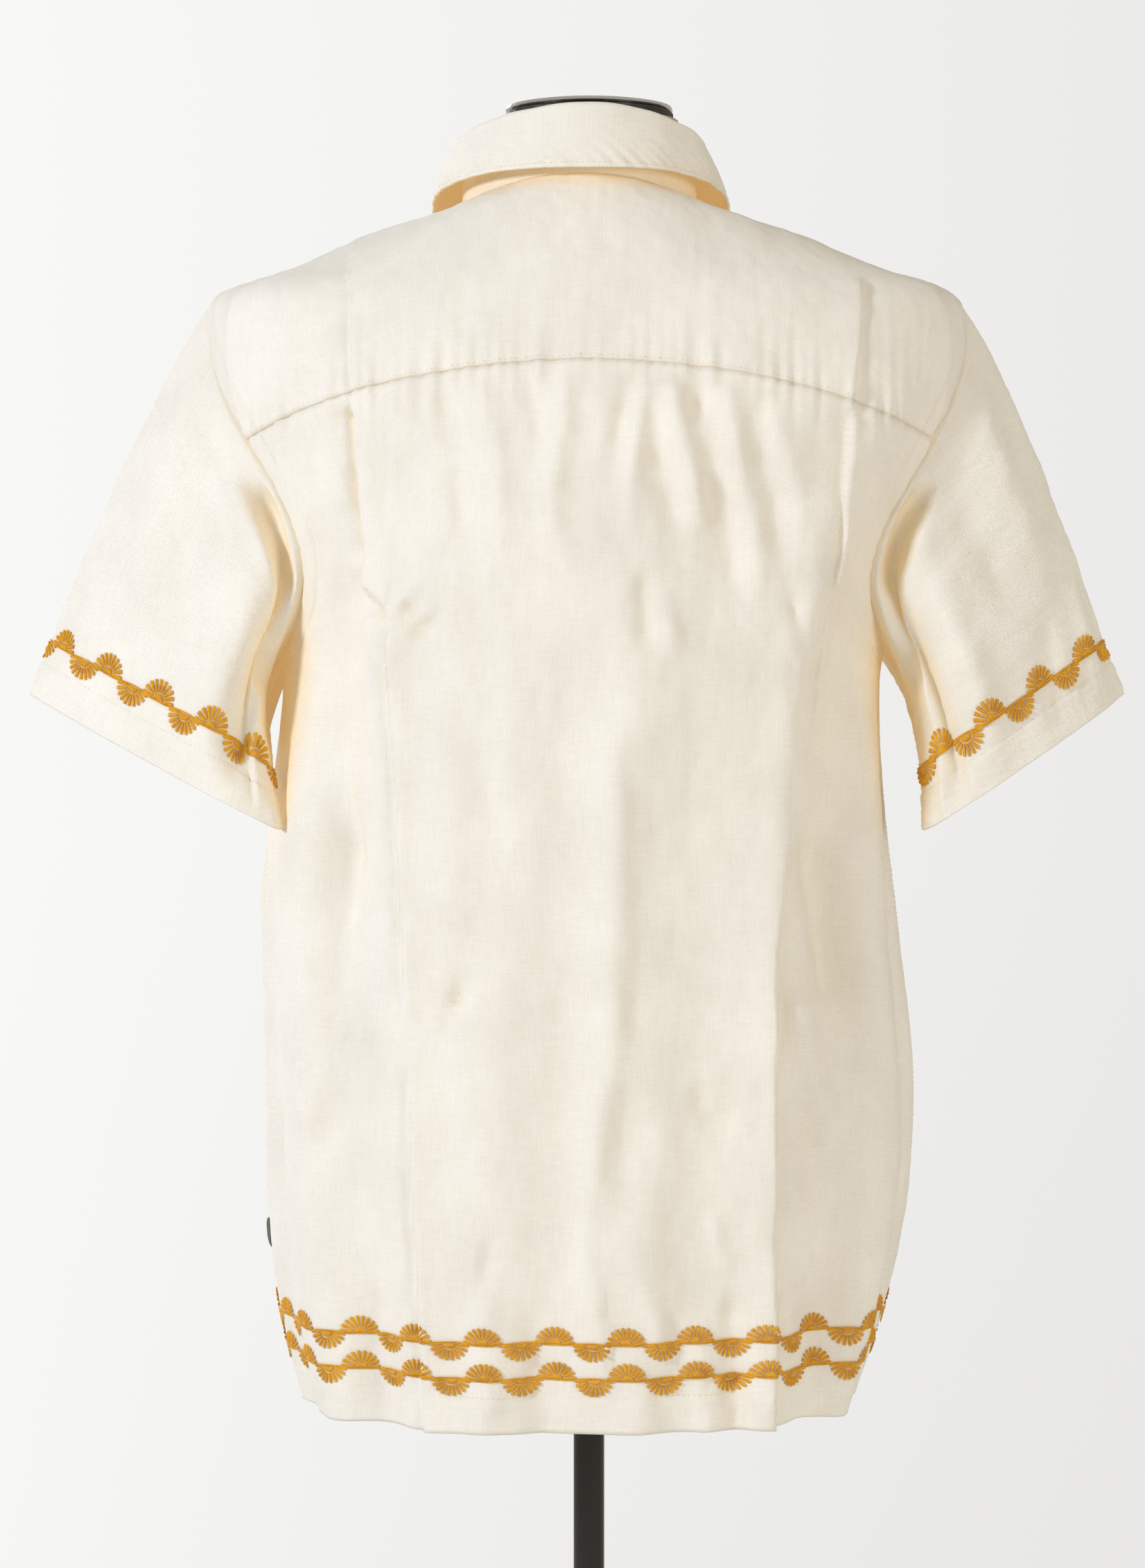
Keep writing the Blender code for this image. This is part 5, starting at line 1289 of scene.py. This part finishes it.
PLACKET_OUT = CLOTH + LAP_GAP / 2.0
seam_angle = np.linspace(-1.0, 1.0, 420) * armhole(YOKE_END_Q, 1)[0] * 0.985
front_end = overlap_angle(np.array([hem_level]), 1)[0]
hem_angle = np.linspace(-(2 * math.pi - front_end), 2 * math.pi - front_end, 900)
side_levels = np.linspace(hem_level + 0.003, LEVEL_OF["armpit"] - 0.004, 360)
lines = [
    body_line(seam_angle, yoke_level(seam_angle) + YOKE_STITCH_UP),
    body_line(hem_angle, hem_level + HEM_DEPTH, front_lap(hem_angle)),
]
for side in (-1, 1):
    lines.append(offset_ring(side, ARMHOLE_BAND, 0.12, 2 * math.pi - 0.12))
    lines.append(body_line(side * (math.pi / 2 - 0.013), side_levels))
levels = np.linspace(hem_level + 0.002, neck_level - 0.004, 420)
edge = overlap_angle(levels, 1)
for share in (0.1, 0.9):
    angle = (2 * math.pi - edge) * (1.0 - share) + edge * share
    lines.append(body_line(angle, levels, front_lap(angle) + PLACKET_OUT))
stitched("body_topstitching", lines)

lines = []
for side_name in ("left", "right"):
    q = np.linspace(0.0, 2 * math.pi, 300)
    lines.append(sleeve_surface(side_name, q, 1.0 - HEM_DEPTH / sleeve_length(side_name, q)))
stitched("cuff_topstitching", lines)

LEAF_INSET, LEAF_ROLL_ROWS = 5, 14
row = np.interp(LEAF_STITCH, from_edge[::-1, 0], np.arange(len(from_edge))[::-1])
columns = np.arange(middle.shape[1], dtype=float)[LEAF_INSET:-LEAF_INSET]
edge_row = between(middle, np.full(len(columns), row), columns)
edge_out = unit(between(normal, np.full(len(columns), row), columns))
lines = [(edge_row + edge_out * half, edge_out)]
down = slice(LEAF_ROLL_ROWS, int(row) + 1)
for column in (LEAF_INSET, middle.shape[1] - 1 - LEAF_INSET):
    lines.append((middle[down, column] + normal[down, column] * half, normal[down, column]))
turn = np.linspace(-stand_end * 0.985, stand_end * 0.985, 500)
lean = neck_edge(turn)[1]
for height in STAND_STITCHES:
    out = stand_lap(turn) - 0.0003
    lines.append((stand_line(turn, np.full(500, height), out), outwards_across(lean, turn)))
stitched("collar_topstitching", lines)


# Embroidery: gold rayon satin stitch in two rows above the hem and one round each sleeve. Every
# motif is a pair of half suns on one running stem, the first hanging from it and the next standing
# on it. All sizes are in metres on the flat cloth, u to the right and v up.
gold, tree, shader = new_material("gold_rayon_satin_stitch", Roughness=0.45)
place = add_node(tree, "UVMap", uv_map="cloth").outputs["UV"]
sockets = {"Vector": place, "Scale": 780.0, "Distortion": 0.8, "Detail": 1.0}
satin_lay_and_painted_sheen = add_node(tree, "TexWave", sockets, bands_direction="X").outputs["Fac"]
clouds = noise(tree, place, 420.0), noise(tree, on_object(tree), 120.0)
# The colour is partly painted sheen: it runs light and dark across the threads with the stripes of their
# lay; the clouds vary its tone unevenly.
tone = ramp(tree, mean_of(tree, satin_lay_and_painted_sheen, *clouds), "#B87400", "#FFBE0C", 0.3, 0.7)
dress_shader(tree, shader, tone, satin_lay_and_painted_sheen, 0.5, 0.0003)
SUN_CORE, SUN_INNER, SUN_OUTER, SUN_RAYS = 0.0037, 0.0042, 0.0112, 10
SUN_FLATTEN = 0.92
SUN_OFF_STEM = 0.0004
RAY_WIDE = (0.0005, 0.00068, 0.00118, 0.00094)
PAIR_SHARE = 0.235
STEM_DROP, STEM_WIDE = 0.0012, 0.00035
STEM_KNOTS = (
    (-2.0, 0.5), (-1.7, 0.8), (-1.4, 1.0), (-0.35, 1.0), (0.0, 0.5),
    (0.3, 0.05), (0.6, 0.0), (1.6, 0.0), (1.8, 0.15), (2.0, 0.5),
)
SATIN_HIGH, SATIN_LIFT = 0.0007, 0.0010


def satin_bar(centre, reach, high):
    """A satin bar as rows of five points, domed across: u, v, height, and the two UV lengths."""
    centre, reach = np.asarray(centre, float), np.asarray(reach, float)
    t = np.linspace(-1.0, 1.0, 5)
    flat = centre[:, None, :] + reach[:, None, :] * t[None, :, None]
    dome = SATIN_LIFT + SATIN_HIGH * np.outer(high, 1.2 * np.sqrt(1.0 - 0.98 * t**2) - 0.7)
    run = distances(centre)
    across = np.linalg.norm(reach, axis=1)[:, None] * t[None, :]
    run = np.broadcast_to(run[:, None], dome.shape)
    return np.stack([flat[..., 0], flat[..., 1], dome, run, across], axis=-1)


def half_sun(centre_u, base_v, up):
    """Core and rays of one half sun; up is 1 where it stands on its stem and -1 where it hangs."""
    bars = []
    u = np.linspace(-1.0, 1.0, 9) * SUN_CORE * 0.97
    tall = np.sqrt(SUN_CORE**2 - u**2) * SUN_FLATTEN
    centre = np.stack([centre_u + u, base_v + up * (tall / 2.0 + SUN_OFF_STEM)], axis=1)
    bars.append(satin_bar(centre, np.stack([np.zeros(9), tall / 2.0], axis=1), np.full(9, 1.1)))
    for ray in range(SUN_RAYS):
        turn = math.pi * (0.035 + 0.93 * ray / (SUN_RAYS - 1))
        out = np.array([math.cos(turn), up * math.sin(turn) * SUN_FLATTEN])
        side = np.array([-out[1], out[0]])
        at = np.array([SUN_INNER, SUN_INNER + 0.0012, SUN_OUTER - 0.0008, SUN_OUTER])
        centre = np.array([centre_u, base_v + up * SUN_OFF_STEM]) + at[:, None] * out
        bars.append(satin_bar(centre, np.array(RAY_WIDE)[:, None] * side, (0.5, 1.0, 1.1, 0.5)))
    return bars


def running_stem(pitch):
    """The stem of one pair: along over the hanging sun, down between the two, and along under the
    standing one to the next pair, where it rises again."""
    path = eased_path(np.array(STEM_KNOTS) * np.array([pitch / 4.0, STEM_DROP]), 36)
    run = np.gradient(path, axis=0)
    side = unit(np.stack([-run[:, 1], run[:, 0]], axis=1))
    return satin_bar(path, side * STEM_WIDE, np.full(36, 0.7))


def motif_pair(pitch):
    hanging = half_sun(-PAIR_SHARE * pitch, STEM_DROP, -1)
    return hanging + half_sun(PAIR_SHARE * pitch, 0.0, 1) + [running_stem(pitch)]


def embroidered(name, pitch, places, surface):
    """One piece of embroidery: the pair at each place (run, height), laid on a surface function."""
    points, uvs, faces, start = [], [], [], 0
    for bar in motif_pair(pitch):
        rows = bar.shape[0]
        run = places[:, 0, None, None] + bar[None, ..., 0]
        up = places[:, 1, None, None] + bar[None, ..., 1]
        spot, normal = surface(run, up)
        points.append((spot + normal * bar[None, ..., 2, None]).reshape(-1, 3))
        shift = np.arange(len(places))[:, None, None] * 0.013
        uvs.append(np.stack([bar[None, ..., 3] + shift, bar[None, ..., 4] + shift], axis=-1).reshape(-1, 2))
        each = grid_faces(rows, 5)[None] + (np.arange(len(places)) * rows * 5)[:, None, None]
        faces.append(each.reshape(-1, 4) + start)
        start += len(places) * rows * 5
    mesh_piece(name, np.concatenate(points), np.concatenate(faces), gold, np.concatenate(uvs))


def hem_surface(run, up):
    """The body cloth above the hem at a run to the right, seen from behind, from centre back."""
    level = hem_level + up
    angle = angle_at_arc(-run, level)
    return body_line(angle, level, front_lap(angle))


HEM_PITCH = 0.0412
HEM_ROWS = ((0.0532, 0.0108), (0.0322, 0.0118))
HEM_REACH = 0.492
CUFF_ROW_UP = 0.034
places = []
for row_up, shift in HEM_ROWS:
    places += [(k * HEM_PITCH + shift, row_up) for k in range(-12, 13)]
places = np.array(places)
inside = np.abs(places[:, 0]) < HEM_REACH
embroidered("hem_embroidery", HEM_PITCH, places[inside], hem_surface)


def cuff_surface(side_name):
    """A surface function of one sleeve above its cuff, and the length round it there."""
    q = np.linspace(0.0, 2 * math.pi, 361)
    ring = bare_sleeve(side_name, q, np.full(361, NEAR_CUFF))
    passed = distances(ring)
    length = sleeve_length(side_name, q)
    way = -1.0 if side_name == "left" else 1.0

    def surface(run, up):
        at = np.interp((way * run) % passed[-1], passed, q)
        return sleeve_surface(side_name, at, 1.0 - up / np.interp(at, q, length))

    return surface, passed[-1]


for side_name in ("left", "right"):
    surface, round_it = cuff_surface(side_name)
    count = round(round_it / HEM_PITCH)
    pitch = round_it / count
    places = np.array([((k + 0.35) * pitch, CUFF_ROW_UP) for k in range(count)])
    embroidered(f"sleeve_{side_name}_embroidery", pitch, places, surface)

# Buttons and side tab: pressed cream shell buttons, and a bare black woven tab in the side seam.
shell, tree, shader = new_material("pressed_shell_buttons", Roughness=0.3)
clouded(tree, shader, "#DCCDAF", "#F4ECDC", 160.0, 0.0002)
for which in (1, 2, 3, 4, 5, 6, "stand"):
    wear(f"button_{which}", shell)
tape, tree, shader = new_material("black_satin_tape", Roughness=0.6, Sheen_Weight=0.2)
clouded(tree, shader, "#0F0E0E", "#242120", 1500.0, 0.0003)
wear("side_label", tape)

# Studio: a plain pale floor, a bright even room and three soft lights: the key high on the shirt's
# left, a warmer fill on its right, and one for its front.
FLOOR_RADIUS, FLOOR_SIDES = 2.2, 96
turn = np.linspace(0.0, 2 * math.pi, FLOOR_SIDES, endpoint=False)
rim = np.stack([np.sin(turn), np.cos(turn), np.zeros(FLOOR_SIDES)], axis=1) * FLOOR_RADIUS
points = np.concatenate([rim, [[0.0, 0.0, 0.0]]])
k = np.arange(FLOOR_SIDES)
faces = np.stack([np.full(FLOOR_SIDES, FLOOR_SIDES), np.roll(k, -1), k], axis=1)
paper, tree, shader = new_material("pale_studio_floor", Roughness=0.8)
clouded(tree, shader, "#EAE8E4", "#EEECE8", 3.0, 0.0001)
floor = mesh_piece("studio_floor", points, faces, paper, smooth=False)

world = bpy.data.worlds.new("studio_room")
bpy.context.scene.world = world
world.use_nodes = True
tree = world.node_tree
backdrop = tree.nodes["Background"]
# The backdrop that the camera sees is painted light: paler on the shirt's left, darker to its right and
# darkest low on the right, a painted fall-off of the lamps' light; the room that lights the shirt stays
# even.
way = add_node(tree, "SeparateXYZ", {0: add_node(tree, "TexCoord").outputs["Generated"]})
sockets = {"Value": way.outputs["X"], "From Min": 0.22, "From Max": -0.22}
across = add_node(tree, "MapRange", sockets).outputs["Result"]
sockets = {"Value": way.outputs["Z"], "From Min": -0.05, "From Max": -0.32}
low = add_node(tree, "MapRange", sockets).outputs["Result"]
corner = add_node(tree, "Math", {0: across, 1: low}, operation="MULTIPLY").outputs["Value"]
sockets = {"Fac": across, "Color1": linear("#FBFBFA"), "Color2": linear("#E8E7E5")}
painted_backdrop_falloff = add_node(tree, "MixRGB", sockets).outputs["Color"]
sockets = {"Fac": corner, "Color1": painted_backdrop_falloff, "Color2": linear("#E6E5E3")}
painted_backdrop_light = add_node(tree, "MixRGB", sockets)
tree.links.new(painted_backdrop_light.outputs["Color"], backdrop.inputs["Color"])
room = add_node(tree, "Background", {"Color": linear("#FFF5E4"), "Strength": 0.48})
seen = add_node(tree, "LightPath").outputs["Is Camera Ray"]
sockets = {0: seen, 1: room.outputs["Background"], 2: backdrop.outputs["Background"]}
mixed = add_node(tree, "MixShader", sockets)
tree.links.new(mixed.outputs["Shader"], tree.nodes["World Output"].inputs["Surface"])


def soft_light(name, place, target, size, watts, colour):
    lamp = bpy.data.lights.new(name, "AREA")
    lamp.shape = "DISK"
    lamp.size = size
    lamp.energy = watts
    lamp.color = colour
    item = bpy.data.objects.new(name, lamp)
    bpy.context.scene.collection.objects.link(item)
    item.location = place
    item.rotation_euler = (Vector(target) - Vector(place)).to_track_quat("-Z", "Y").to_euler()


soft_light("key", (2.6, 1.9, 2.2), (0.0, 0.0, 1.15), 0.6, 64.0, (0.94, 1.0, 1.10))
soft_light("fill", (-2.4, 2.4, 1.5), (0.0, 0.0, 1.1), 1.6, 33.0, (1.0, 0.95, 0.86))
soft_light("front_fill", (1.4, -2.6, 1.9), (0.0, 0.0, 1.1), 1.6, 34.0, (1.0, 0.98, 0.95))

CAMERA_PLACE = (0.0102, 2.28, 1.221)
CAMERA_TILT_DEG = -1.946
camera = bpy.data.cameras.new("camera")
camera.lens = 85.0
camera.sensor_width = 36.0
camera.sensor_fit = "AUTO"
view = bpy.data.objects.new("camera", camera)
bpy.context.scene.collection.objects.link(view)
view.location = CAMERA_PLACE
view.rotation_euler = (math.radians(90.0 + CAMERA_TILT_DEG), 0.0, math.pi)
bpy.context.scene.camera = view
bpy.context.scene.view_settings.view_transform = "Standard"
